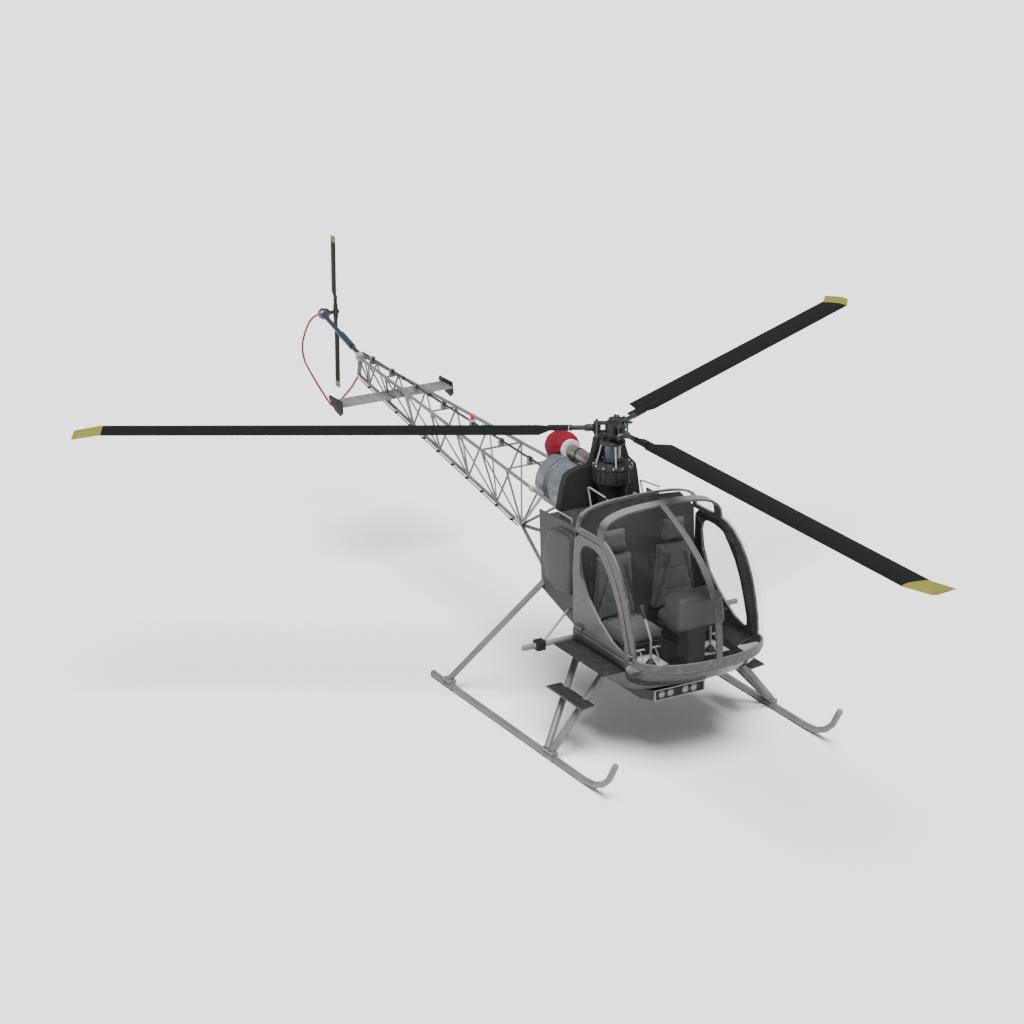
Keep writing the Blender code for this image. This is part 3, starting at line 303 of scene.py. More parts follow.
# %% [markdown]
# The blades are near-black with an ochre band at each tip. The paint follows the distance from
# the mast, or from the tail rotor's shaft, so one comparison finds the band. Rain and grit wear
# the outer part, which shows as a slightly rougher, paler cloud.


# %% Blade paint
MAIN_BAND = 4.84
TAIL_BAND = 0.788
TAIL_SHAFT = (-5.315, 2.292)
BLACK, WORN_BLACK = (0.0050, 0.0062, 0.0062), (0.011, 0.0128, 0.0128)
OCHRE, WORN_OCHRE = (0.172, 0.170, 0.036), (0.135, 0.132, 0.030)


def blade_paint(name, centre, band, flat_axes):
    """Black paint with an ochre tip beyond a distance from the shaft."""
    paint = Finish(name, "blade_black", Specular_IOR_Level=0.12)
    places = paint.axes()
    first, second = (places[i] - c for i, c in zip(flat_axes, centre))
    distance = (first * first + second * second) ** 0.5
    tip = distance > band
    grit = paint.soft_step(paint.noise(36.0, 7.0), 0.48, 0.70)
    streaks = paint.noise(9.0, 4.0)
    black = paint.blend(grit * 0.35, BLACK, WORN_BLACK)
    ochre = paint.blend(grit * 0.5, OCHRE, WORN_OCHRE)
    rough = 0.58 + (streaks - 0.5) * 0.2 + grit * 0.12
    return paint.cover(paint.blend(tip, black, ochre), rough, grit, 0.0004, 0.2)


main_paint = blade_paint("main_blade_paint", (MAST_X, 0.0), MAIN_BAND, (0, 1))
tail_paint = blade_paint("tail_blade_paint", TAIL_SHAFT, TAIL_BAND, (0, 2))
print("ochre starts", MAIN_BAND, "m out on the main blades")

# %% [markdown]
# The windows are thin acrylic. Real glass needs thickness and refraction, which is slow and
# gains nothing in a sheet 5 mm thick, so the pane is mostly see-through with a grey tint and a
# faint gloss. Smears change its roughness.

# %% Windows, lamps and plastic
glass = Finish("acrylic", "glass", Specular_IOR_Level=0.07)
smear = glass.soft_step(glass.noise(5.0, 4.0), 0.5, 0.8)
glass.cover(glass.blend(smear, (0.060, 0.066, 0.070), (0.10, 0.106, 0.11)), 0.06 + smear * 0.05)
glass.feed(glass.shader.inputs["Alpha"], 0.050 + smear * 0.012)

chin_tint = Finish("chin_acrylic", "glass", Roughness=0.08)
cloud = chin_tint.noise(7.0, 3.0)
chin_tint.cover(chin_tint.blend(cloud, (0.016, 0.017, 0.019), (0.034, 0.035, 0.038)))
chin_tint.feed(chin_tint.shader.inputs["Alpha"], 0.50 + cloud * 0.1)

lens_red = Finish("red_lens", "lamp_red", Coat_Weight=0.1, Specular_IOR_Level=0.25)
ripple = lens_red.put("ShaderNodeTexWave", {"bands_direction": "Z"},
                      {"Vector": lens_red.place, "Scale": 40.0, "Distortion": 0.5})
lens_red.cover(lens_red.blend(ripple, (0.30, 0.004, 0.008), (0.52, 0.012, 0.020)),
               0.34 + ripple * 0.1, ripple, 0.001, 0.2)

# The lenses' ribs are real bumps, and the pale bands in their colour are painted glints.
lamp_glass = Finish("lamp_glass", "glass", Coat_Weight=0.5)
ribs_and_glints = lamp_glass.put("ShaderNodeTexWave", {"bands_direction": "Y"},
                       {"Vector": lamp_glass.place, "Scale": 26.0, "Distortion": 0.3})
lamp_glass.cover(lamp_glass.blend(ribs_and_glints, (0.05, 0.055, 0.06), (0.30, 0.31, 0.33)),
                 0.12 + ribs_and_glints * 0.1, ribs_and_glints, 0.002, 0.5)

rubber = Finish("rubber", "dark_grey")
chalky = rubber.soft_step(rubber.noise(30.0, 6.0), 0.45, 0.75)
rubber.cover(rubber.blend(chalky, (0.010, 0.010, 0.011), (0.030, 0.030, 0.031)),
             0.62 + chalky * 0.2, rubber.noise(500.0, 2.0), 0.0004, 0.3)
print("windows, lamps and rubber ready")

# %% [markdown]
# Cloth shows threads that pass over and under each other. Two waves at right angles, each
# strongest where the other is weak, give the height of a plain weave. The same height gives
# painted shade in the gaps and a painted highlight on the threads, so that the pattern shows
# in flat light too.


# %% Cloth
def woven(name, slot, colour, pale, threads, sheen):
    """Plain weave: threads to the metre, with lint and fading."""
    cloth = Finish(name, slot, Sheen_Weight=sheen, Sheen_Roughness=0.5, Specular_IOR_Level=0.2)
    settings = {"wave_type": "BANDS"}
    turns = threads / 20.0
    across, along = (cloth.put("ShaderNodeTexWave", {**settings, "bands_direction": axis},
                               {"Vector": cloth.place, "Scale": turns, "Distortion": 0.4,
                                "Detail": 1.0}) for axis in ("Y", "X"))
    upright = cloth.put("ShaderNodeTexWave", {**settings, "bands_direction": "Z"},
                        {"Vector": cloth.place, "Scale": turns, "Distortion": 0.4})
    weave = across * along + (1.0 - across) * upright
    lint = cloth.soft_step(cloth.noise(55.0, 6.0), 0.50, 0.72)
    faded = cloth.soft_step(cloth.noise(4.5, 3.0), 0.35, 0.7)
    # Painted shade in the gaps of the weave and a painted highlight on its threads.
    base = cloth.blend(weave, shade(colour, 0.62), shade(colour, 1.15))
    worn = cloth.blend(faded * 0.45 + lint * 0.12, base, pale)
    return cloth.cover(worn, 0.78 + lint * 0.1, weave + lint * 0.4, 0.0012, 0.5)


seat_cloth = woven("seat_cloth", "seat_grey", (0.060, 0.066, 0.071), (0.080, 0.087, 0.093), 520,
                   0.15)
belt_web = woven("belt_web", "seat_grey", (0.030, 0.033, 0.036), (0.06, 0.06, 0.062), 700, 0.1)
cover_cloth = woven("cover_cloth", "cover_red", (0.160, 0.0010, 0.013), (0.185, 0.0020, 0.018),
                    600, 0.02)
print("cloth ready")

# %% [markdown]
# Every new piece ends the same way: its mesh gets clean normals, soft shading up to an edge
# angle, a finish and a body to ride on. Its place stays in the mesh, and the object sits at
# the origin, unturned, because the export expects it there.


# %% Finishing a piece
def place_piece(name, bm, finish, body="airframe", angle=35, stands_for=()):
    """Turns a bmesh into a finished piece of the machine, and frees the bmesh."""
    mesh = bpy.data.meshes.new(name)
    bm.to_mesh(mesh)
    bm.free()
    custom = mesh.attributes.get("custom_normal")
    if custom:
        mesh.attributes.remove(custom)
    mesh.shade_smooth()
    mesh.set_sharp_from_angle(angle=radians(angle))
    mesh.materials.clear()
    mesh.materials.append(finish.material)
    piece = bpy.data.objects.new(name, mesh)
    bpy.context.scene.collection.objects.link(piece)
    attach(piece, body)
    if stands_for:
        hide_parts(*stands_for)
    return piece


def merged_copy(node):
    """A CAD node's mesh with its corners merged and its flat triangles joined."""
    bm = bmesh.new()
    bm.from_mesh(nodes[node].data)
    bmesh.ops.remove_doubles(bm, verts=bm.verts, dist=0.00002)
    bmesh.ops.dissolve_limit(bm, angle_limit=radians(0.6), verts=bm.verts, edges=bm.edges)
    return bm


def dressed(node, finish, angle, bevel=0.0, body="airframe"):
    """A CAD node shown by a merged copy of itself, softly shaded and with eased edges."""
    bm = merged_copy(node)
    if bevel:
        edges = [edge for edge in bm.edges if edge.calc_face_angle(0.0) > radians(30)]
        bmesh.ops.bevel(bm, geom=edges, offset=bevel, segments=2, profile=0.5, affect="EDGES",
                        clamp_overlap=True, material=-1)
    bmesh.ops.triangulate(bm, faces=bm.faces)
    return place_piece(node + "_shown", bm, finish, body, angle, (node,))


print("piece helpers ready")

# %% [markdown]
# Nodes whose shape is right keep it. A few plain ones only get a finish in their material
# slot. Rounded ones, and plates whose edges are eased, are shown by a merged copy, because the
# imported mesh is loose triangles, which can't be shaded smoothly or bevelled.

# %% Finishes for the CAD nodes
PLAIN_FINISHES = {
    "rear_bulkhead": wall_grey, "cabin_floor": trim_black,
    "centre_structure": hull_grey, "firewall": fire_black,
    "engine_core": metal_dark, "cyclic_stick": pale_grey,
}
SOFT_COPIES = (
    ("cabin_frame", frame_grey, 40),
    ("cabin_tub", tub_grey, 40),
    ("windscreen_port windscreen_starboard roof_window", glass, 50),
    ("chin_window", chin_tint, 50),
    ("door_port", frame_grey, 40, 0.0, "door_port"),
    ("door_starboard", frame_grey, 40, 0.0, "door_starboard"),
    ("door_glass_port", glass, 50, 0.0, "door_port"),
    ("door_glass_starboard", glass, 50, 0.0, "door_starboard"),
    ("side_plate_port side_plate_starboard", hull_grey, 35),
    ("main_gearbox", metal_dark, 40),
    ("mast_sleeve", steel_blue, 40),
    ("engine_drum", drum_steel, 40),
    ("exhaust_pipe", pipe_metal, 40),
    ("tail_boom", tube_grey, 62),
    ("tail_drive_shaft", steel_blue, 62),
    ("tail_rotor_support", steel_blue, 50),
    ("tail_gearbox", steel_blue, 40),
    ("tail_guard", guard_red, 62),
    ("beacon", lens_red, 40),
    ("stabiliser", tube_grey, 50),
    ("end_plate_port end_plate_starboard", board_grey, 35, 0.002),
    ("front_leg_port front_leg_starboard", leg_grey, 62),
    ("rear_leg_port rear_leg_starboard skid_port skid_starboard", tube_grey, 62),
    ("outrigger_bar", tube_grey, 50),
    ("landing_light_box", hull_grey, 35, 0.008),
    ("footboard_port footboard_starboard", board_grey, 35, 0.003),
    ("main_blade_1 main_blade_2 main_blade_3", main_paint, 50, 0.0, "main_rotor"),
    ("tail_rotor_hub", metal_dark, 50, 0.0, "tail_rotor"),
    ("tail_blade_1 tail_blade_2", tail_paint, 50, 0.0, "tail_rotor"),
)
for node, finish in PLAIN_FINISHES.items():
    nodes[node].material_slots[0].material = finish.material
for words, *choices in SOFT_COPIES:
    for node in words.split():
        dressed(node, *choices)
print("finished nodes:", len(PLAIN_FINISHES) + sum(len(row[0].split()) for row in SOFT_COPIES))

# %% [markdown]
# The fuel tank runs across the machine and bulges out through both side plates. Its profile is
# extruded from one side to the other, and only the rims outside the plates are rounded, so that
# the plates' holes stay filled.

# %% Fuel tank
TANK_PROFILE = ((0.30, 1.30), (0.345, 1.62), (0.345, 1.90), (0.24, 1.925), (0.05, 1.91),
                (-0.10, 1.84), (-0.19, 1.70), (-0.21, 1.52), (-0.15, 1.36), (0.0, 1.27))
TANK_HALF = 0.66
TANK_RIM = 0.050
tank = bmesh.new()
tank_side = tank.faces.new([tank.verts.new(at(x, -TANK_HALF, z)) for x, z in TANK_PROFILE])
grown = bmesh.ops.extrude_face_region(tank, geom=[tank_side])["geom"]
moved = [item for item in grown if isinstance(item, bmesh.types.BMVert)]
bmesh.ops.translate(tank, vec=(0, 2 * TANK_HALF, 0), verts=moved)
rims = [edge for edge in tank.edges if abs(edge.verts[0].co.y - edge.verts[1].co.y) < TANK_HALF]
bmesh.ops.bevel(tank, geom=rims, offset=TANK_RIM, segments=6, profile=0.5, affect="EDGES",
                clamp_overlap=True, material=-1)
bmesh.ops.recalc_face_normals(tank, faces=tank.faces)
open_edges = sum(len(edge.link_faces) != 2 for edge in tank.edges)
bmesh.ops.triangulate(tank, faces=tank.faces)
place_piece("fuel_tank_shown", tank, hull_grey, "airframe", 55, ("fuel_tank",))
print("tank shell, open edges:", open_edges)

# %% [markdown]
# The new fittings are bars, blocks, turned parts and plates. Each helper adds one such shape to
# a bmesh with Blender's own operators, so a piece can gather as many as it needs before it is
# finished once.


# %% Shape helpers
BOLT_STEPS = 12


def turn_to(axis):
    """A turn that points Z along an axis."""
    return Vector(axis).to_track_quat("Z", "Y").to_matrix().to_4x4()


def add_bar(bm, points, radius, sides):
    """A round bar: a disc is extruded from point to point, and none is left inside at a bend."""
    points = [Vector(point) for point in points]
    places = []
    for i, point in enumerate(points):
        back = (point - points[i - 1]).normalized() if i else Vector((0, 0, 0))
        ahead = (points[i + 1] - point).normalized() if i + 1 < len(points) else Vector((0, 0, 0))
        direction = (back + ahead).normalized()
        if places:
            twist = places[-1][0].rotation_difference(direction).to_matrix().to_4x4()
            turn = twist @ places[-1][1]
        else:
            turn = turn_to(direction)
        places.append((direction, turn))
    start = Matrix.Translation(points[0]) @ places[0][1]
    made = bmesh.ops.create_circle(bm, cap_ends=True, segments=sides, radius=radius, matrix=start)
    verts = list(made["verts"])
    face = verts[0].link_faces[0]
    for i in range(1, len(points)):
        now = Matrix.Translation(points[i]) @ places[i][1]
        before = Matrix.Translation(points[i - 1]) @ places[i - 1][1]
        grown = bmesh.ops.extrude_face_region(bm, geom=[face])["geom"]
        if i > 1:
            bmesh.ops.delete(bm, geom=[face], context="FACES_ONLY")
        face = next(item for item in grown if isinstance(item, bmesh.types.BMFace))
        ring = [item for item in grown if isinstance(item, bmesh.types.BMVert)]
        bmesh.ops.transform(bm, matrix=now @ before.inverted(), verts=ring)
        verts += ring
    faces = list({link for vert in verts for link in vert.link_faces})
    bmesh.ops.recalc_face_normals(bm, faces=faces)


def add_block(bm, low, high, edge, segments=2):
    """A block between two corners with eased edges."""
    low, high = Vector(low), Vector(high)
    verts = bmesh.ops.create_cube(bm, size=1.0)["verts"]
    bmesh.ops.scale(bm, vec=high - low, verts=verts)
    edges = list({link for vert in verts for link in vert.link_edges})
    made = bmesh.ops.bevel(bm, geom=edges, offset=edge, segments=segments, profile=0.5,
                           affect="EDGES", material=-1)
    verts = list({vert for face in made["faces"] for vert in face.verts})
    bmesh.ops.translate(bm, vec=(low + high) / 2, verts=verts)
    return verts


def add_turned(bm, profile, start, axis, steps):
    """A turned part: (distance along the axis, radius) from one end to the other."""
    points = [bm.verts.new((radius, 0, along)) for along, radius in profile]
    edges = [bm.edges.new(pair) for pair in zip(points, points[1:])]
    before = set(bm.verts) - set(points)
    bmesh.ops.spin(bm, geom=points + edges, cent=(0, 0, 0), axis=UP, angle=2 * pi,
                   steps=steps, use_merge=True, use_duplicate=False)
    verts = [vert for vert in bm.verts if vert not in before]
    bmesh.ops.remove_doubles(bm, verts=verts, dist=0.00002)
    verts = [vert for vert in bm.verts if vert not in before]
    faces = list({face for vert in verts for face in vert.link_faces})
    bmesh.ops.recalc_face_normals(bm, faces=faces)
    bmesh.ops.transform(bm, matrix=Matrix.Translation(start) @ turn_to(axis), verts=verts)


def add_ring(bm, first, last, inner, outer, start, axis, steps):
    """A turned ring with a rectangular section, from one distance along its axis to another."""
    profile = ((first, inner), (first, outer), (last, outer), (last, inner), (first, inner))
    add_turned(bm, profile, start, axis, steps)


def add_bolts(bm, places, axis, radius, height):
    """Bolt heads standing on a face, with a washer under each."""
    profile = ((0.0, 0.0), (0.0, radius * 1.5), (height * 0.25, radius * 1.5),
               (height * 0.25, radius), (height * 0.85, radius), (height, radius * 0.75),
               (height, 0.0))
    for place in places:
        add_turned(bm, profile, place, axis, BOLT_STEPS)


def ring_of(count, radius, centre, axis, first=0.0):
    """Places evenly round a circle about an axis."""
    turn = Matrix.Translation(centre) @ turn_to(axis)
    angles = (first + 2 * pi * i / count for i in range(count))
    return [turn @ Vector((radius * cos(angle), radius * sin(angle), 0)) for angle in angles]


print("shape helpers ready")

# %% [markdown]
# A seat is a foam cushion and back in a cloth cover, on a sheet metal box. Foam pushes its
# cover out between the seams, and Blender's cloth with some pressure inside does just that: the
# pad starts a little small, is remeshed into even squares, swells for twenty frames, and keeps
# the result. One seat is made, and the other is its mirror image.

# %% Padded seat
SEAT_Y = -0.33
SWELL_CAP = 0.024
SWELL_FRAMES = 20
SEAM_DEPTH, SEAM_WIDTH = 0.008, 0.020
CUSHION_SEAM, BACK_SEAM = 0.15, 0.13


def pad_block(low, high, top_share, edge):
    """A pad's starting block: its top narrowed, its edges well rounded."""
    bm = bmesh.new()
    low, high = Vector(low), Vector(high)
    bmesh.ops.create_cube(bm, size=1.0)
    top = [vert for vert in bm.verts if vert.co.z > 0]
    bmesh.ops.scale(bm, vec=(top_share, top_share, 1), verts=top)
    bmesh.ops.scale(bm, vec=high - low, verts=bm.verts)
    bmesh.ops.translate(bm, vec=(low + high) / 2, verts=bm.verts)
    bmesh.ops.bevel(bm, geom=bm.edges[:], offset=edge, segments=3, profile=0.5,
                    affect="EDGES", material=-1)
    return bm


def baked(piece):
    """The mesh that a piece's modifiers leave."""
    view = bpy.context.evaluated_depsgraph_get()
    return bpy.data.meshes.new_from_object(piece.evaluated_get(view))


def swollen(name, bm, voxel, pressure=4.0, cap=SWELL_CAP):
    """Remeshes a pad and lets pressure swell it; no point moves further than the cap."""
    mesh = bpy.data.meshes.new(name)
    bm.to_mesh(mesh)
    bm.free()
    piece = bpy.data.objects.new(name, mesh)
    bpy.context.scene.collection.objects.link(piece)
    remesh = piece.modifiers.new("even squares", "REMESH")
    remesh.mode = "VOXEL"
    remesh.voxel_size = voxel
    even = baked(piece)
    piece.modifiers.clear()
    piece.data = even
    rest = [vert.co.copy() for vert in even.vertices]
    cloth = piece.modifiers.new("swell", "CLOTH")
    cloth.settings.use_pressure = True
    cloth.settings.uniform_pressure_force = pressure
    cloth.settings.quality = 5
    cloth.settings.effector_weights.gravity = 0.0
    cloth.point_cache.frame_end = SWELL_FRAMES
    for number in range(1, SWELL_FRAMES + 1):
        bpy.context.scene.frame_set(number)
    grown = baked(piece)
    bpy.context.scene.frame_set(1)
    piece.modifiers.clear()
    for vert, was in zip(grown.vertices, rest):
        move = vert.co - was
        if move.length > cap:
            vert.co = was + move * (cap / move.length)
    piece.data = grown
    result = bmesh.new()
    result.from_mesh(piece.data)
    bpy.data.objects.remove(piece)
    return result


def sewn(bm, lines):
    """Presses sewn channels into a pad: each line gives how far a point is from its seam."""
    bm.normal_update()
    for vert in bm.verts:
        for away in lines:
            share = abs(away(vert.co)) / SEAM_WIDTH
            if share < 1.0:
                vert.co -= vert.normal * SEAM_DEPTH * (0.5 + 0.5 * cos(pi * share))


def softened(bm):
    """One subdivision and a light smoothing, for the last of the facets."""
    bmesh.ops.subdivide_edges(bm, edges=bm.edges[:], cuts=1, use_grid_fill=True)
    bmesh.ops.smooth_vert(bm, verts=bm.verts, factor=0.5, use_axis_x=True, use_axis_y=True,
                          use_axis_z=True)
    return bm


print("cloth helpers ready")

# %% [markdown]
# The starboard cushion, back and headrest are swollen, and seams are pressed into the first
# two. Their shapes are kept for later, because the belts lie on them.

# %% Seat pads
CUSHION_LOW, CUSHION_HIGH = at(0.635, SEAT_Y - 0.245, 1.035), at(1.105, SEAT_Y + 0.245, 1.145)
BACK_LOW, BACK_HIGH = at(0.515, SEAT_Y - 0.238, 1.10), at(0.625, SEAT_Y + 0.238, 1.775)
HEAD_LOW, HEAD_HIGH = at(0.528, SEAT_Y - 0.132, 1.79), at(0.600, SEAT_Y + 0.132, 2.00)
cushion = swollen("cushion", pad_block(CUSHION_LOW, CUSHION_HIGH, 0.95, 0.035), 0.009)
back = swollen("back", pad_block(BACK_LOW, BACK_HIGH, 0.80, 0.035), 0.009)
head = swollen("head", pad_block(HEAD_LOW, HEAD_HIGH, 0.86, 0.025), 0.008, 4.0, 0.014)
middle_x = (CUSHION_LOW.x + CUSHION_HIGH.x) / 2
sewn(cushion, [lambda p: p.y - SEAT_Y + CUSHION_SEAM, lambda p: p.y - SEAT_Y - CUSHION_SEAM,
               lambda p: p.x - middle_x if abs(p.y - SEAT_Y) < CUSHION_SEAM else 1.0])
sewn(back, [lambda p: p.y - SEAT_Y + BACK_SEAM, lambda p: p.y - SEAT_Y - BACK_SEAM,
            lambda p: p.z - 1.30 if abs(p.y - SEAT_Y) < BACK_SEAM else 1.0,
            lambda p: p.z - 1.52 if abs(p.y - SEAT_Y) < BACK_SEAM else 1.0])
cushion_shape = BVHTree.FromBMesh(cushion)
back_shape = BVHTree.FromBMesh(back)
MIRROR = Matrix.Scale(-1, 4, PORT)


def both_sides(name, bm, finish, angle, stands_for=None):
    """The starboard piece and its mirror image to port."""
    for side in ("starboard", "port"):
        copy = bm.copy()
        if side == "port":
            bmesh.ops.transform(copy, matrix=MIRROR, verts=copy.verts)
            bmesh.ops.reverse_faces(copy, faces=copy.faces)
        hidden = (stands_for % side,) if stands_for else ()
        piece = place_piece("%s_%s" % (name, side), copy, finish, "airframe", angle, hidden)
    bm.free()


both_sides("seat_cushion", softened(cushion), seat_cloth, 60, "seat_%s")
both_sides("seat_back", softened(back), seat_cloth, 60)
both_sides("seat_headrest", softened(head), seat_cloth, 60)
print("seat cushion spans", round(CUSHION_HIGH.x - CUSHION_LOW.x, 3), "m")

# %% [markdown]
# Under the cushion stands a sheet box with a thin tray on top, a flat sheet backs the seat, and
# two posts carry the headrest. Sheet metal this plain needs only blocks with eased edges.

# %% Seat box and posts
seat_box = bmesh.new()
add_block(seat_box, at(0.66, SEAT_Y - 0.20, 0.8705), at(1.02, SEAT_Y + 0.20, 1.012), 0.010)
add_block(seat_box, at(0.645, SEAT_Y - 0.235, 1.005), at(1.09, SEAT_Y + 0.235, 1.028), 0.006)
add_block(seat_box, at(0.502, SEAT_Y - 0.225, 1.06), at(0.516, SEAT_Y + 0.225, 1.74), 0.005)
for side in (-1, 1):
    y = SEAT_Y + side * 0.06
    add_bar(seat_box, [at(0.560, y, 1.70), at(0.562, y, 1.83)], 0.008, 10)
both_sides("seat_box", seat_box, metal_dark, 35)

# %% [markdown]
# The exhaust is closed by a red padded plug, which sits over the end of the pipe and rests on
# the drum. The CAD solid already leaves room for both, so its copy is drawn in by a few
# millimetres and swollen back, which rounds it, and a few shallow folds run along it.

# %% Exhaust cover
PIPE_END = at(-0.965, 0.09, 2.262)
BAG_END = at(-1.27, 0.12, 2.215)
DRAWN_IN = 0.006
bag_way = (BAG_END - PIPE_END).normalized()


def bag_polar(point):
    """How far a point is along the cover, and where it lies across it."""
    local = turn_to(bag_way).inverted() @ (point - PIPE_END)
    return local.z, Vector((local.x, local.y))


bag = merged_copy("exhaust_cover")
bmesh.ops.triangulate(bag, faces=bag.faces)
bag.normal_update()
for vert in bag.verts:
    vert.co -= vert.normal * DRAWN_IN
bag = swollen("bag", bag, 0.006, 3.0, 0.008)
bag.normal_update()
for vert in bag.verts:
    along, out = bag_polar(vert.co)
    angle = out.angle_signed(Vector((1, 0)), 0.0)
    fold = 0.5 + 0.5 * sin(angle * 9 + 2.5 * sin(along * 17))
    reach = max(0.0, min(1.0, (along + 0.02) / 0.12))
    vert.co -= vert.normal * 0.006 * fold * (1.0 - 0.5 * reach)
bag_piece = place_piece("exhaust_cover_padded", softened(bag), cover_cloth, "airframe", 70,
                        ("exhaust_cover",))
print("cover points:", len(bag_piece.data.vertices))

# %% [markdown]
# The rotor head is two star-shaped plates with the blade arms held between them by upright
# pins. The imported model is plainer, so here it is rebuilt in the same space: three forks round
# a central boss, bluish pins through their ends, and a drag damper across each arm.

# %% Rotor head
HUB_AT = at(0, 0, 2.78)
ARMS = (0, 120, 240)
head_frame = bmesh.new()
head_pins = bmesh.new()
add_turned(head_frame, ((-0.100, 0.0), (-0.100, 0.045), (-0.060, 0.045), (-0.060, 0.078),
                        (0.056, 0.078), (0.062, 0.050), (0.094, 0.045), (0.100, 0.040),
                        (0.100, 0.0)), HUB_AT, UP, 28)
for turn in ARMS:
    spin = Matrix.Rotation(radians(turn), 4, "Z")
    to_arm = Matrix.Translation(HUB_AT) @ spin
    for low in (-0.056, 0.040):
        made = add_block(head_frame, (0.03, -0.046, low), (0.186, 0.046, low + 0.015), 0.005)
        bmesh.ops.transform(head_frame, matrix=to_arm, verts=made)
    made = add_block(head_frame, (0.115, -0.020, -0.038), (0.20, 0.020, 0.038), 0.008)
    bmesh.ops.transform(head_frame, matrix=to_arm, verts=made)
    way = to_arm.to_3x3() @ Vector(AHEAD)
    across = to_arm.to_3x3() @ Vector(PORT)
    add_turned(head_frame, ((0.19, 0.0), (0.19, 0.030), (0.215, 0.034), (0.26, 0.034),
                            (0.275, 0.024), (0.385, 0.024), (0.395, 0.030), (0.419, 0.030),
                            (0.419, 0.0)), HUB_AT, way, 16)
    for reach, aside in ((0.155, 0.030), (0.155, -0.030), (0.155, 0.062)):
        foot = HUB_AT + way * reach + across * aside
        add_turned(head_pins, ((-0.066, 0.0), (-0.066, 0.014), (-0.058, 0.014), (-0.058, 0.010),
                               (0.057, 0.010), (0.057, 0.015), (0.070, 0.015), (0.078, 0.009),
                               (0.078, 0.0)), foot, UP, 12)
    damper = HUB_AT + way * 0.225
    add_turned(head_pins, ((-0.085, 0.0), (-0.085, 0.012), (-0.072, 0.018), (-0.020, 0.018),
                           (-0.015, 0.009), (0.012, 0.009), (0.012, 0.0)), damper, across, 14)
add_bolts(head_frame, ring_of(6, 0.062, HUB_AT + Vector((0, 0, 0.058)), UP, 0.3),
          UP, 0.006, 0.008)
add_bar(head_frame, [at(0, 0, 2.657), at(0, 0, 2.76)], 0.038, 20)
place_piece("rotor_head_frame", head_frame, metal_dark, "main_rotor", 40, ("rotor_hub",))
place_piece("rotor_head_pins", head_pins, steel_blue, "main_rotor", 40)
pitch = bmesh.new()
add_turned(pitch, ((-0.150, 0.088), (-0.150, 0.118), (-0.140, 0.124), (-0.128, 0.118),
                   (-0.122, 0.088), (-0.150, 0.088)), HUB_AT, UP, 28)
for arm in ARMS:
    turn = radians(arm + 30)
    way = Vector((cos(turn), sin(turn), 0))
    foot = HUB_AT + way * 0.122
    add_turned(pitch, ((-0.142, 0.0), (-0.142, 0.013), (-0.122, 0.013), (-0.118, 0.007),
                       (-0.078, 0.007), (-0.074, 0.013), (-0.058, 0.013), (-0.058, 0.0)),
               foot, UP, 10)
place_piece("pitch_ring_and_rods", pitch, metal_dark, "main_rotor", 40, ("pitch_plate",))
cuffs = bmesh.new()
for turn in ARMS:
    spin = Matrix.Translation(HUB_AT) @ Matrix.Rotation(radians(turn), 4, "Z")
    for reach in (0.50, 0.56, 0.74, 0.80, 0.86):
        place = spin @ Vector((reach, -0.026 * (reach - 0.42), 0.016))
        add_bolts(cuffs, [place], UP, 0.008, 0.008)
place_piece("blade_root_bolts", cuffs, steel_blue, "main_rotor", 40)
print("rotor head rebuilt")

# %% [markdown]
# Below the head, a smooth steel sleeve hides the mast, and three control rods run up beside it
# from the gearbox. The gearbox itself is a finned drum of cast metal with a bolted lid. Fins and
# bolts repeat round a circle, so a loop places them.

# %% Gearbox, sleeve and control rods
GEAR_AXIS = at(0, 0, 0)


def add_fins(bm, count, low, high, edge, first=0.0):
    """Equal blocks set round the mast."""
    for number in range(count):
        turn = Matrix.Rotation(2 * pi * number / count + first, 4, "Z")
        made = add_block(bm, low, high, edge)
        bmesh.ops.transform(bm, matrix=Matrix.Translation(GEAR_AXIS) @ turn, verts=made)


casting = bmesh.new()
add_fins(casting, 20, (0.168, -0.006, 2.272), (0.196, 0.006, 2.388), 0.003)
add_turned(casting, ((2.395, 0.150), (2.395, 0.192), (2.408, 0.196), (2.420, 0.192),
                     (2.424, 0.150), (2.395, 0.150)), GEAR_AXIS, UP, 36)
add_ring(casting, 2.075, 2.095, 0.130, 0.152, GEAR_AXIS, UP, 32)
place_piece("gearbox_fins", casting, metal_dark)
bright = bmesh.new()
add_bolts(bright, ring_of(12, 0.182, at(0, 0, 2.421), UP), UP, 0.007, 0.010)
add_bolts(bright, ring_of(10, 0.144, at(0, 0, 2.0), UP), UP, 0.006, 0.010)
place_piece("gearbox_bolts", bright, bright_metal)
sleeve = bmesh.new()
add_turned(sleeve, ((2.456, 0.060), (2.456, 0.092), (2.472, 0.094), (2.480, 0.074),
                    (2.596, 0.073), (2.602, 0.084), (2.618, 0.084), (2.622, 0.060),
                    (2.456, 0.060)), GEAR_AXIS, UP, 28)
add_bolts(sleeve, ring_of(8, 0.083, at(0, 0, 2.472), UP, 0.4), UP, 0.005, 0.008)
add_fins(sleeve, 6, (0.070, -0.004, 2.485), (0.079, 0.004, 2.592), 0.002, 0.2)
place_piece("mast_sleeve_flanges", sleeve, steel_blue)
rods = bmesh.new()
for turn in (-110, -20, 150):
    way = Vector((cos(radians(turn)), sin(radians(turn)), 0))
    low = GEAR_AXIS + way * 0.165 + Vector((0, 0, 2.41))
    high = GEAR_AXIS + way * 0.112 + Vector((0, 0, 2.612))
    add_bar(rods, [low, high], 0.0075, 10)
    for end in (low, high):
        add_turned(rods, ((-0.010, 0.0), (-0.010, 0.011), (0.010, 0.011), (0.010, 0.0)), end,
                   way, 12)
place_piece("control_rods", rods, pale_grey)
print("gearbox dressed")

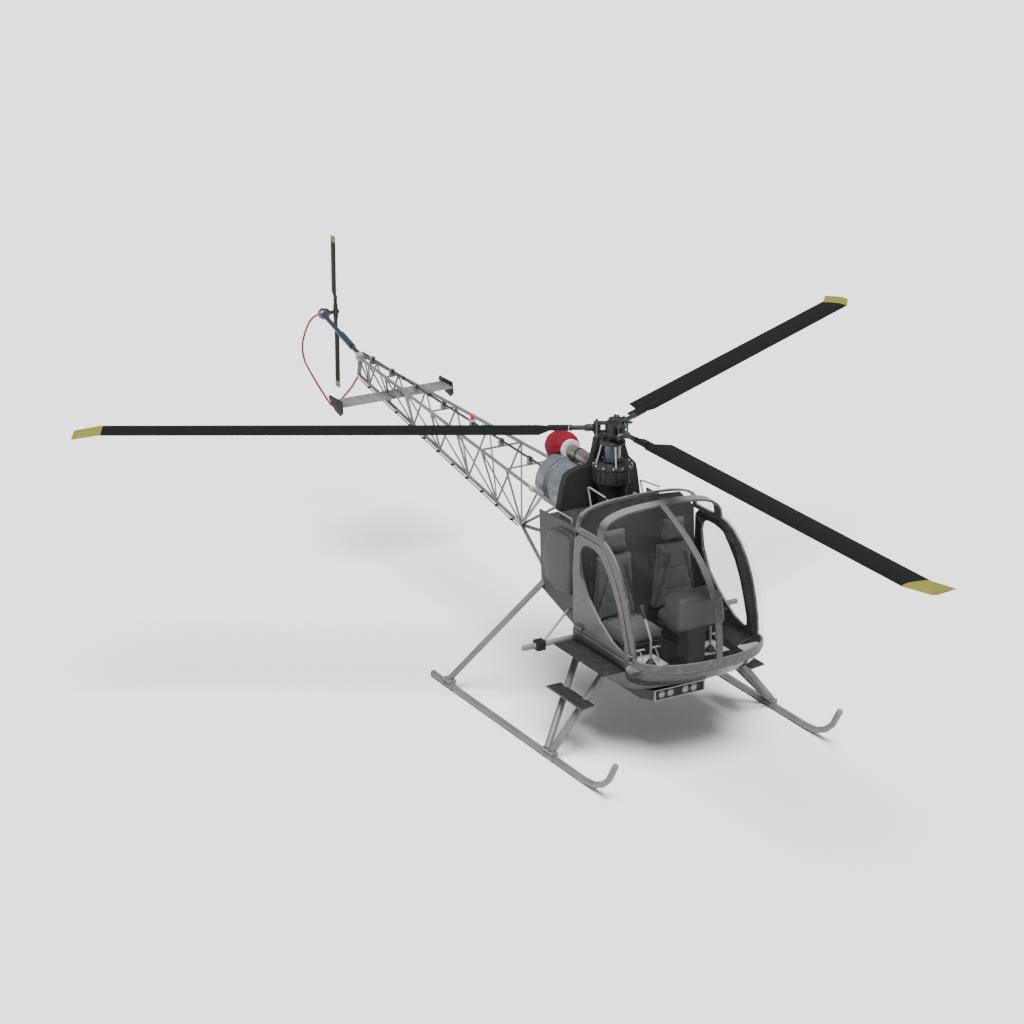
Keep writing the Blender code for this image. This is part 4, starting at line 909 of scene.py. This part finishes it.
# %% [markdown]
# The engine drum is two sheet rings joined by a band clamp, with a coarse screen behind. The
# exhaust pipe ends in a pale two-flanged collar. The firewall is a black plate whose edge is
# turned back as a flange, made here by extruding its outline backwards.

# %% Engine fittings
DRUM_AXIS = at(0, 0, 1.96)
bands = bmesh.new()
for back, radius in ((0.497, 0.232), (0.846, 0.240)):
    add_turned(bands, ((0.0, radius - 0.006), (0.0, radius + 0.002), (0.003, radius + 0.005),
                       (0.015, radius + 0.005), (0.018, radius + 0.002), (0.018, radius - 0.006),
                       (0.0, radius - 0.006)), DRUM_AXIS - Vector((back, 0, 0)), AFT, 48)
    lug = DRUM_AXIS + Vector((-back - 0.009, -0.707 * radius, 0.707 * radius))
    add_bar(bands, [lug + Vector((0, -0.03, -0.018)), lug + Vector((0, 0.03, 0.030))], 0.006, 8)
place_piece("drum_bands", bands, drum_steel)
screen = bmesh.new()
REAR_FACE = 1.051
for radius in (0.045, 0.095, 0.145, 0.195):
    add_ring(screen, 0.0, 0.006, radius - 0.004, radius + 0.004,
             DRUM_AXIS - Vector((REAR_FACE, 0, 0)), AFT, 40)
for number in range(12):
    angle = 2 * pi * number / 12
    way = Vector((0, cos(angle), sin(angle)))
    face = DRUM_AXIS - Vector((REAR_FACE + 0.003, 0, 0))
    add_bar(screen, [face + way * 0.03, face + way * 0.222], 0.004, 6)
place_piece("intake_screen", screen, metal_dark)
PIPE_ROOT = at(-0.23, 0.06, 2.285)
pipe_way = (PIPE_END - PIPE_ROOT).normalized()
collar = bmesh.new()
for back in (0.064, 0.036):
    add_turned(collar, ((0.0, 0.060), (0.0, 0.098), (0.003, 0.102), (0.011, 0.102),
                        (0.014, 0.098), (0.014, 0.060), (0.0, 0.060)),
               PIPE_END - pipe_way * back, pipe_way, 32)
add_bolts(collar, ring_of(8, 0.093, PIPE_END - pipe_way * 0.064, -pipe_way), -pipe_way, 0.005,
          0.007)
place_piece("exhaust_collar", collar, white_paint)
straps = bmesh.new()
for back in (0.49, 0.084):
    add_ring(straps, 0.0, 0.020, 0.060, 0.069, PIPE_ROOT + pipe_way * back, pipe_way, 28)
place_piece("exhaust_bands", straps, metal_dark)
FIREWALL_EDGE = (
    (-0.466, 1.957), (-0.425, 2.178), (-0.390, 2.288), (-0.341, 2.324), (-0.242, 2.351),
    (-0.136, 2.356), (-0.101, 2.404), (-0.067, 2.533), (-0.055, 2.61), (0.0, 2.67), (0.16, 2.66),
    (0.225, 2.60), (0.268, 2.50), (0.306, 2.385), (0.386, 2.30), (0.405, 2.22), (0.43, 2.05),
    (0.445, 1.957),
)
rim = bmesh.new()
line = [rim.verts.new(at(-0.2305, y, z)) for y, z in FIREWALL_EDGE]
edges = [rim.edges.new(pair) for pair in zip(line, line[1:])]
grown = bmesh.ops.extrude_edge_only(rim, edges=edges)["geom"]
moved = [item for item in grown if isinstance(item, bmesh.types.BMVert)]
bmesh.ops.translate(rim, vec=(-0.048, 0, 0), verts=moved)
bmesh.ops.recalc_face_normals(rim, faces=rim.faces)
bmesh.ops.solidify(rim, geom=rim.faces[:], thickness=0.004)
place_piece("firewall_flange", rim, fire_black, "airframe", 40)
print("engine dressed")

# %% [markdown]
# Inside the cabin go the sticks, collective levers, pedals, floor panels, belts and the
# instrument pod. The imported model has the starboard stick, so only the port one is added. The
# doors' inner sides are black trim: a copy of each door keeps only the faces that look
# inwards, and they are given a few millimetres of thickness.

# %% Cabin fittings
FLOOR_TOP = 0.8703
pod = bmesh.new()
made = add_block(pod, at(1.305, -0.262, 1.29), at(1.615, 0.262, 1.612), 0.055, 4)
top = [vert for vert in made if vert.co.z > 1.45]
bmesh.ops.scale(pod, vec=(0.88, 0.92, 1), space=Matrix.Translation(-at(1.46, 0, 0)), verts=top)
add_block(pod, at(1.342, -0.098, 0.8705), at(1.518, 0.098, 1.33), 0.020, 3)
add_block(pod, at(1.300, -0.225, 1.335), at(1.330, 0.225, 1.565), 0.006)
place_piece("instrument_pod_shell", pod, pod_grey, "airframe", 40, ("instrument_pod",))
dials = bmesh.new()
rims = bmesh.new()
for row, level in enumerate((1.40, 1.50)):
    for y in (-0.16, -0.055, 0.055, 0.16):
        face = at(1.3005, y, level)
        add_turned(dials, ((0.0, 0.0), (0.0, 0.034), (0.003, 0.034), (0.003, 0.0)), face,
                   AFT, 24)
        add_turned(rims, ((0.0, 0.034), (0.0, 0.042), (0.006, 0.042), (0.007, 0.036),
                          (0.007, 0.034), (0.0, 0.034)), face, AFT, 24)
        angle = 2.2 * y * 10 + row
        tip = Vector((-0.0045, 0.024 * cos(angle), 0.024 * sin(angle)))
        add_bar(rims, [face + Vector((-0.0045, 0, 0)), face + tip], 0.0016, 6)
place_piece("dial_faces", dials, rubber)
place_piece("dial_rims", rims, pale_grey)

controls = bmesh.new()
grips = bmesh.new()
for side in (-1, 1):
    y = side * 0.33
    if side > 0:
        add_bar(controls, [at(1.24, y, 0.871), at(1.24, y, 1.12), at(1.12, y, 1.32)], 0.012, 12)
    add_turned(grips, ((0.0, 0.0), (0.0, 0.016), (0.03, 0.021), (0.09, 0.019), (0.115, 0.024),
                       (0.13, 0.018), (0.135, 0.0)), at(1.135, y, 1.295), (-0.51, 0, 0.86), 14)
    add_turned(grips, ((0.0, 0.060), (0.008, 0.060), (0.020, 0.042), (0.032, 0.040),
                       (0.044, 0.026), (0.056, 0.024), (0.068, 0.013)), at(1.24, y, 0.871),
               UP, 20)
    lever = [at(0.70, y + 0.285, 0.94), at(0.92, y + 0.285, 1.02), at(1.02, y + 0.285, 1.13)]
    add_bar(controls, lever, 0.011, 12)
    add_turned(grips, ((0.0, 0.0), (0.0, 0.015), (0.02, 0.018), (0.10, 0.018), (0.115, 0.0)),
               lever[2] - Vector((0.02, 0, 0.022)), (0.1, 0, 0.11), 14)
    for offset in (-0.085, 0.085):
        heel = at(1.25, y + offset, 0.876)
        toe = at(1.18, y + offset, 1.005)
        add_bar(controls, [heel, at(1.235, y + offset, 0.95), toe], 0.007, 10)
        add_bar(controls, [toe + Vector((0, -0.055, 0)), toe + Vector((0.012, -0.03, 0.012)),
                           toe + Vector((0.014, 0.03, 0.014)), toe + Vector((0, 0.055, 0))],
                0.010, 10)
place_piece("sticks_levers_pedals", controls, pale_grey)
place_piece("grips_and_boots", grips, rubber)

mats = bmesh.new()
for side in (-1, 1):
    y = side * 0.34
    add_block(mats, at(0.99, y - 0.165, FLOOR_TOP), at(1.31, y + 0.165, 0.876), 0.002)
    add_block(mats, at(1.14, y - 0.27, FLOOR_TOP), at(1.33, y - 0.16, 0.874), 0.0015)
    for rib in range(13):
        x = 1.005 + 0.023 * rib
        add_block(mats, at(x, y - 0.14, 0.8758), at(x + 0.007, y + 0.14, 0.879), 0.001)
place_piece("floor_panels", mats, white_paint)

for side, word in ((-1, "starboard"), (1, "port")):
    body = "door_" + word
    lining = merged_copy(body)
    outward = [face for face in lining.faces
               if -side * face.normal.y < 0.8 or face.calc_area() < 0.02]
    bmesh.ops.delete(lining, geom=outward, context="FACES")
    bmesh.ops.translate(lining, vec=(0, -side * 0.0005, 0), verts=lining.verts)
    bmesh.ops.triangulate(lining, faces=lining.faces)
    bmesh.ops.solidify(lining, geom=lining.faces[:], thickness=-0.004)
    bmesh.ops.recalc_face_normals(lining, faces=lining.faces)
    place_piece(body + "_lining", lining, trim_black, body, 35)
    fittings = bmesh.new()
    low_y, high_y = sorted((side * 0.694, side * 0.711))
    add_block(fittings, at(0.495, low_y, 1.064), at(0.630, high_y, 1.101), 0.005)
    add_bar(fittings, [at(0.51, side * 0.7085, 1.083), at(0.615, side * 0.7085, 1.083)], 0.0035, 8)
    place_piece(body + "_handle", fittings, rubber, body, 35)

rivets = bmesh.new()
for side in (-1, 1):
    for number in range(30):
        x = 0.47 + 0.030 * number
        spot = at(x, side * 0.6835, 1.018)
        add_turned(rivets, ((0.0, 0.005), (0.0025, 0.004), (0.004, 0.0)), spot, (0, side, 0), 6)
place_piece("sill_rivets", rivets, pale_grey)
print("cabin dressed")

# %% [markdown]
# The belts are flat webbing, which cloth simulation would gain nothing from. Each is a ribbon
# pulled through points that were dropped onto the finished pads and lifted off them by a few
# millimetres. A metal buckle sits where the two halves meet.


# %% Seat belts
WEBBING = 0.0022
BELT_LIFT = 0.004


def ribbon(bm, points, width, across):
    """A strap through points, its width lying along one direction."""
    across = Vector(across).normalized() * width / 2
    first = [bm.verts.new(points[0] - across), bm.verts.new(points[0] + across)]
    edge = bm.edges.new(first)
    faces = []
    for before, now in zip(points, points[1:]):
        grown = bmesh.ops.extrude_edge_only(bm, edges=[edge])["geom"]
        edge = next(item for item in grown if isinstance(item, bmesh.types.BMEdge)
                    and all(vert in grown for vert in item.verts))
        bmesh.ops.translate(bm, vec=now - before, verts=edge.verts[:])
        faces += [item for item in grown if isinstance(item, bmesh.types.BMFace)]
    bmesh.ops.recalc_face_normals(bm, faces=faces)
    bmesh.ops.solidify(bm, geom=faces, thickness=WEBBING)


def dropped(tree, starts, way):
    """Where lines from the starts meet a pad, lifted a little off it. Misses are left out."""
    hits = [tree.ray_cast(start, Vector(way))[0] for start in starts]
    return [hit - Vector(way) * BELT_LIFT for hit in hits if hit is not None]


belts = bmesh.new()
lap_starts = [at(0.72, SEAT_Y + share * 0.225, 1.4)
              for share in (-1, -0.8, -0.6, -0.4, -0.2, 0, 0.2, 0.4, 0.6, 0.8, 1)]
lap = dropped(cushion_shape, lap_starts, (0, 0, -1))
lap_middle = lap[len(lap) // 2]
ribbon(belts, lap, 0.046, AHEAD)
for side in (-1, 1):
    rise_starts = [at(1.0, SEAT_Y + side * (0.07 + 0.02 * i), 1.74 - 0.085 * i)
                   for i in range(8)]
    ribbon(belts, dropped(back_shape, rise_starts, AFT), 0.044, PORT)
both_sides("seat_belts", belts, belt_web, 40)
buckle = bmesh.new()
add_block(buckle, lap_middle + Vector((-0.030, -0.034, 0.001)),
          lap_middle + Vector((0.030, 0.034, 0.014)), 0.005)
add_turned(buckle, ((0.0, 0.0), (0.0, 0.016), (0.006, 0.014), (0.006, 0.0)),
           lap_middle + Vector((0, 0, 0.012)), UP, 16)
both_sides("belt_buckle", buckle, bright_metal, 35)
print("belts laid")

# %% [markdown]
# The box under the nose carries two pairs of lamps behind a black face with a pale frame. Each
# lamp is a shallow turned dish with a ribbed lens. Handles, clamps and caps on the outside are
# bars and turned parts on the tubes that carry them. The clamp rings round the skids are
# flattened underneath, so that nothing reaches below the ground.

# %% Lamps and outside fittings
DECK_TOP = 1.951
SKID_Y = 1.233
SKID_MIDDLE = 0.032
OVER_GROUND = 0.0003
lamp_face = bmesh.new()
add_block(lamp_face, at(1.212, -0.266, 0.497), at(1.2395, 0.266, 0.590), 0.004)
place_piece("lamp_face", lamp_face, trim_black)
lamp_frame = bmesh.new()
for low, high in (((1.224, -0.276, 0.588), (1.246, 0.276, 0.598)),
                  ((1.220, -0.276, 0.488), (1.244, 0.276, 0.498)),
                  ((1.222, -0.278, 0.490), (1.245, -0.266, 0.597)),
                  ((1.222, 0.266, 0.490), (1.245, 0.278, 0.597))):
    add_block(lamp_frame, at(*low), at(*high), 0.002)
place_piece("lamp_frame", lamp_frame, pale_grey)
lenses = bmesh.new()
dishes = bmesh.new()
for y in (-0.20, -0.105, 0.06, 0.155):
    front = at(1.2385, y, 0.5435)
    add_turned(lenses, ((0.0, 0.0), (0.0, 0.031), (0.004, 0.030), (0.008, 0.020),
                        (0.010, 0.0)), front, AHEAD, 24)
    add_turned(dishes, ((0.0, 0.031), (0.0, 0.039), (0.007, 0.038), (0.008, 0.032),
                        (0.0, 0.031)), front, AHEAD, 24)
place_piece("lamp_lenses", lenses, lamp_glass)
place_piece("lamp_rings", dishes, tube_grey)

handles = bmesh.new()
for side, apex in ((-1, (0.05, 2.244)), (1, (0.02, 2.20))):
    y = side * 0.30
    add_bar(handles, [at(0.14, y, 1.952), at(apex[0] + 0.02, y, apex[1] - 0.05),
                      at(apex[0], y, apex[1]), at(apex[0] + 0.03, y, apex[1] + 0.012),
                      at(0.36, y, 2.245)], 0.0085, 10)
    add_turned(handles, ((0.0, 0.0), (0.0, 0.026), (0.006, 0.026), (0.008, 0.012), (0.008, 0.0)),
               at(0.14, y, 1.950), UP, 16)
    y = side * 0.52
    add_bar(handles, [at(-0.12, y, DECK_TOP), at(-0.12, y, 1.99), at(0.12, y, 1.99),
                      at(0.12, y, DECK_TOP)], 0.008, 10)
place_piece("roof_handles", handles, pale_grey)

deck = bmesh.new()
for low, high in (((0.20, -0.42, DECK_TOP), (0.36, -0.22, 2.010)),
                  ((0.22, 0.16, DECK_TOP), (0.37, 0.40, 2.045)),
                  ((0.02, 0.30, DECK_TOP), (0.16, 0.46, 2.000))):
    add_block(deck, at(*low), at(*high), 0.010, 3)
place_piece("deck_boxes", deck, metal_dark)
lines = bmesh.new()
for y, top in ((-0.16, 2.10), (-0.20, 2.03), (0.20, 2.12)):
    add_bar(lines, [at(0.36, y * 1.4, 1.975), at(0.28, y * 1.3, 2.03), at(0.20, y, top),
                    at(0.12, y * 0.8, top + 0.01)], 0.010, 10)
place_piece("deck_pipes", lines, pale_grey)

clamps = bmesh.new()
for side in (-1, 1):
    y = side * SKID_Y
    for x in (-1.07, -0.93, 0.85, 1.01):
        add_turned(clamps, ((-0.016, 0.030), (-0.016, 0.036), (-0.012, 0.0385), (0.012, 0.0385),
                            (0.016, 0.036), (0.016, 0.030), (-0.016, 0.030)),
                   at(x, y, SKID_MIDDLE), AHEAD, 24)
    for x in (-1.03, -0.97, 0.84, 1.02):
        add_bolts(clamps, [at(x, y - 0.024, 0.094), at(x, y + 0.024, 0.094)], UP, 0.005,
                  0.008)
    add_turned(clamps, ((0.0, 0.0), (0.0, 0.030), (0.006, 0.0335), (0.030, 0.0335),
                        (0.030, 0.0)), at(-1.338, y, SKID_MIDDLE), AHEAD, 24)
for vert in clamps.verts:
    vert.co.z = max(vert.co.z, OVER_GROUND)
place_piece("skid_clamps", clamps, tube_grey)
shoes = bmesh.new()
for side in (-1, 1):
    for x in (-1.25, -0.62, 0.10, 0.62, 1.22):
        y = side * SKID_Y
        add_block(shoes, at(x, y - 0.020, OVER_GROUND), at(x + 0.26, y + 0.020, 0.012), 0.003)
place_piece("skid_wear_shoes", shoes, metal_dark)

outrigger = bmesh.new()
for side in (-1, 1):
    y = side * 1.02
    add_block(outrigger, at(0.324, y - 0.048, 0.857), at(0.420, y + 0.048, 0.953), 0.010)
    for x in (0.345, 0.399):
        add_bolts(outrigger, [at(x, y - 0.03, 0.953), at(x, y + 0.03, 0.953)], UP, 0.006,
                  0.009)
place_piece("outrigger_clamps", outrigger, trim_black)

treads = bmesh.new()
for side in (-1, 1):
    for number in range(13):
        x = 0.46 + 0.063 * number
        low_y, high_y = sorted((side * 0.69, side * 0.872))
        add_block(treads, at(x, low_y, 0.9095), at(x + 0.022, high_y, 0.9125), 0.001)
    for number in range(8):
        x = 0.56 + 0.066 * number
        low_y, high_y = sorted((side * 0.892, side * 1.026))
        add_block(treads, at(x, low_y, 0.5495), at(x + 0.022, high_y, 0.5525), 0.001)
place_piece("tread_strips", treads, board_grey)
print("outside fittings ready")

# %% [markdown]
# Along the boom go the drive shaft's bearings, a conduit held by clips, the beacon's base, two
# small boxes, and blocks where the boom meets the body and across the stabiliser. At the tail,
# the gearbox has a bolted flange and a sight glass, and the rotor has root fittings and pitch
# links.

# %% Boom and tail fittings
SHAFT_FRONT = -1.0515
SHAFT_START = at(SHAFT_FRONT, 0, 1.978)
SHAFT_END = at(-5.11, 0, 2.105)
shaft_way = (SHAFT_END - SHAFT_START).normalized()


def on_shaft(x):
    """The shaft's middle at a distance ahead of the mast."""
    return SHAFT_START + shaft_way * ((SHAFT_FRONT - x) / -shaft_way.x)


bearings = bmesh.new()
for x in (-1.56, -2.13, -2.72, -3.33, -3.92, -4.46, -4.90):
    add_turned(bearings, ((-0.030, 0.0125), (-0.030, 0.020), (-0.024, 0.023), (0.024, 0.023),
                          (0.030, 0.020), (0.030, 0.0125), (-0.030, 0.0125)), on_shaft(x),
               shaft_way, 20)
for x in (-1.30, -2.42, -3.62, -4.20):
    add_ring(bearings, -0.012, 0.012, 0.0125, 0.019, on_shaft(x), shaft_way, 18)
place_piece("shaft_bearings", bearings, metal_dark)
conduit = bmesh.new()
LOW_START, LOW_END = at(-1.76, -0.008, 1.223), at(-5.16, -0.008, 1.800)
add_bar(conduit, [LOW_START.lerp(LOW_END, i / 12) + Vector((0, -0.016, 0)) for i in range(13)],
        0.0065, 8)
for number in range(11):
    middle = LOW_START.lerp(LOW_END, 0.04 + 0.09 * number)
    add_block(conduit, middle + Vector((-0.010, -0.028, -0.012)),
              middle + Vector((0.010, 0.020, 0.010)), 0.002)
place_piece("boom_conduit", conduit, metal_dark)
boom_parts = bmesh.new()
add_turned(boom_parts, ((-0.010, 0.0), (-0.010, 0.038), (0.004, 0.038), (0.010, 0.031),
                        (0.010, 0.0)), at(-2.72, 0, 2.0483), UP, 24)
add_block(boom_parts, at(-1.80, -0.032, 1.252), at(-1.70, 0.032, 1.312), 0.006)
add_block(boom_parts, at(-5.215, -0.046, 2.010), at(-5.125, 0.046, 2.088), 0.010, 3)
for side in (-1, 1):
    for x in (-0.26, -0.98):
        joint = at(x, side * (0.360 - 0.065 * (-0.2 - x)), 1.884 + 0.034 * (-0.2 - x))
        add_block(boom_parts, joint - Vector((0.035, 0.024, 0.024)),
                  joint + Vector((0.035, 0.024, 0.024)), 0.006)
for y in (-0.44, -0.22, 0.22, 0.44):
    add_block(boom_parts, at(-4.575, y - 0.004, 1.8195), at(-4.318, y + 0.004, 1.8445), 0.002)
place_piece("boom_blocks", boom_parts, pale_grey)

TAIL_X, TAIL_Z = -6.06, 2.292
TAIL_HUB = at(TAIL_X, 0.155, TAIL_Z)
tail_parts = bmesh.new()
add_ring(tail_parts, 0.026, 0.036, 0.050, 0.0665, at(TAIL_X, -0.035, TAIL_Z), PORT, 32)
add_bolts(tail_parts, ring_of(8, 0.060, at(TAIL_X, 0.001, TAIL_Z), PORT), PORT, 0.0045, 0.007)
add_turned(tail_parts, ((0.0, 0.0), (0.0, 0.040), (0.010, 0.036), (0.012, 0.0)),
           at(TAIL_X, -0.035, TAIL_Z), STARBOARD, 24)
place_piece("tail_gearbox_flange", tail_parts, steel_blue)
sight = bmesh.new()
add_turned(sight, ((0.0, 0.0), (0.0, 0.011), (0.005, 0.010), (0.007, 0.0)),
           at(TAIL_X, -0.047, TAIL_Z), STARBOARD, 16)
place_piece("sight_glass", sight, lens_red)
tail_head = bmesh.new()
for way in (1, -1):
    root = TAIL_HUB + Vector((0, 0, way * 0.142))
    add_block(tail_head, root + Vector((-0.024, -0.014, -0.030)),
              root + Vector((0.024, 0.014, 0.050)), 0.004)
    add_turned(tail_head, ((0.0, 0.0), (0.0, 0.024), (0.05, 0.024), (0.06, 0.020), (0.06, 0.0)),
               TAIL_HUB + Vector((0, 0, way * 0.03)), (0, 0, way), 16)
    link_end = TAIL_HUB + Vector((0.030, 0.014, way * 0.02))
    add_bar(tail_head, [root + Vector((0.030, 0.0, 0.0)), link_end], 0.006, 8)
    add_bolts(tail_head, [root + Vector((x, 0.014, way * 0.02)) for x in (-0.010, 0.010)], PORT,
              0.005, 0.006)
add_turned(tail_head, ((-0.020, 0.0), (-0.020, 0.032), (0.020, 0.032), (0.028, 0.022),
                       (0.040, 0.020), (0.040, 0.0)), TAIL_HUB, PORT, 20)
place_piece("tail_rotor_fittings", tail_head, metal_dark, "tail_rotor")
print("boom and tail dressed")

# %% [markdown]
# Soft studio light: an even pale sky and one broad lamp above and a little ahead, which leaves
# the upper and forward faces light and the sides darker, as in a light tent. The floor is a
# plain pale sheet that runs past the camera's view.

# %% Floor and light
SKY_STRENGTH = 0.30
SUN_STRENGTH = 7.5
SUN_DEGREES = 35
SUN_FROM = Vector((0.34, -0.12, 1.0))
FLOOR_HALF = 140.0
BELOW_SKIDS = 0.002
sky = bpy.data.worlds.new("studio")
sky.use_nodes = True
background = sky.node_tree.nodes["Background"]
background.inputs["Color"].default_value = (1.0, 1.0, 1.0, 1.0)
background.inputs["Strength"].default_value = SKY_STRENGTH
bpy.context.scene.world = sky

sun_data = bpy.data.lights.new("overhead", "SUN")
sun_data.energy = SUN_STRENGTH
sun_data.angle = radians(SUN_DEGREES)
sun = bpy.data.objects.new("overhead", sun_data)
sun.rotation_euler = SUN_FROM.to_track_quat("Z", "Y").to_euler()
bpy.context.scene.collection.objects.link(sun)

floor_sheet = bmesh.new()
bmesh.ops.create_grid(floor_sheet, x_segments=8, y_segments=8, size=FLOOR_HALF)
bmesh.ops.translate(floor_sheet, vec=(0, 0, -BELOW_SKIDS), verts=floor_sheet.verts)
floor_mesh = bpy.data.meshes.new("studio_floor")
floor_sheet.to_mesh(floor_mesh)
floor_sheet.free()
floor = bpy.data.objects.new("studio_floor", floor_mesh)
bpy.context.scene.collection.objects.link(floor)
floor_look = bpy.data.materials.new("pale_floor")
floor_look.use_nodes = True
floor_shader = floor_look.node_tree.nodes["Principled BSDF"]
floor_shader.inputs["Base Color"].default_value = (0.95, 0.95, 0.95, 1.0)
floor_shader.inputs["Roughness"].default_value = 0.9
floor_mesh.materials.append(floor_look)
print("floor and lights ready")
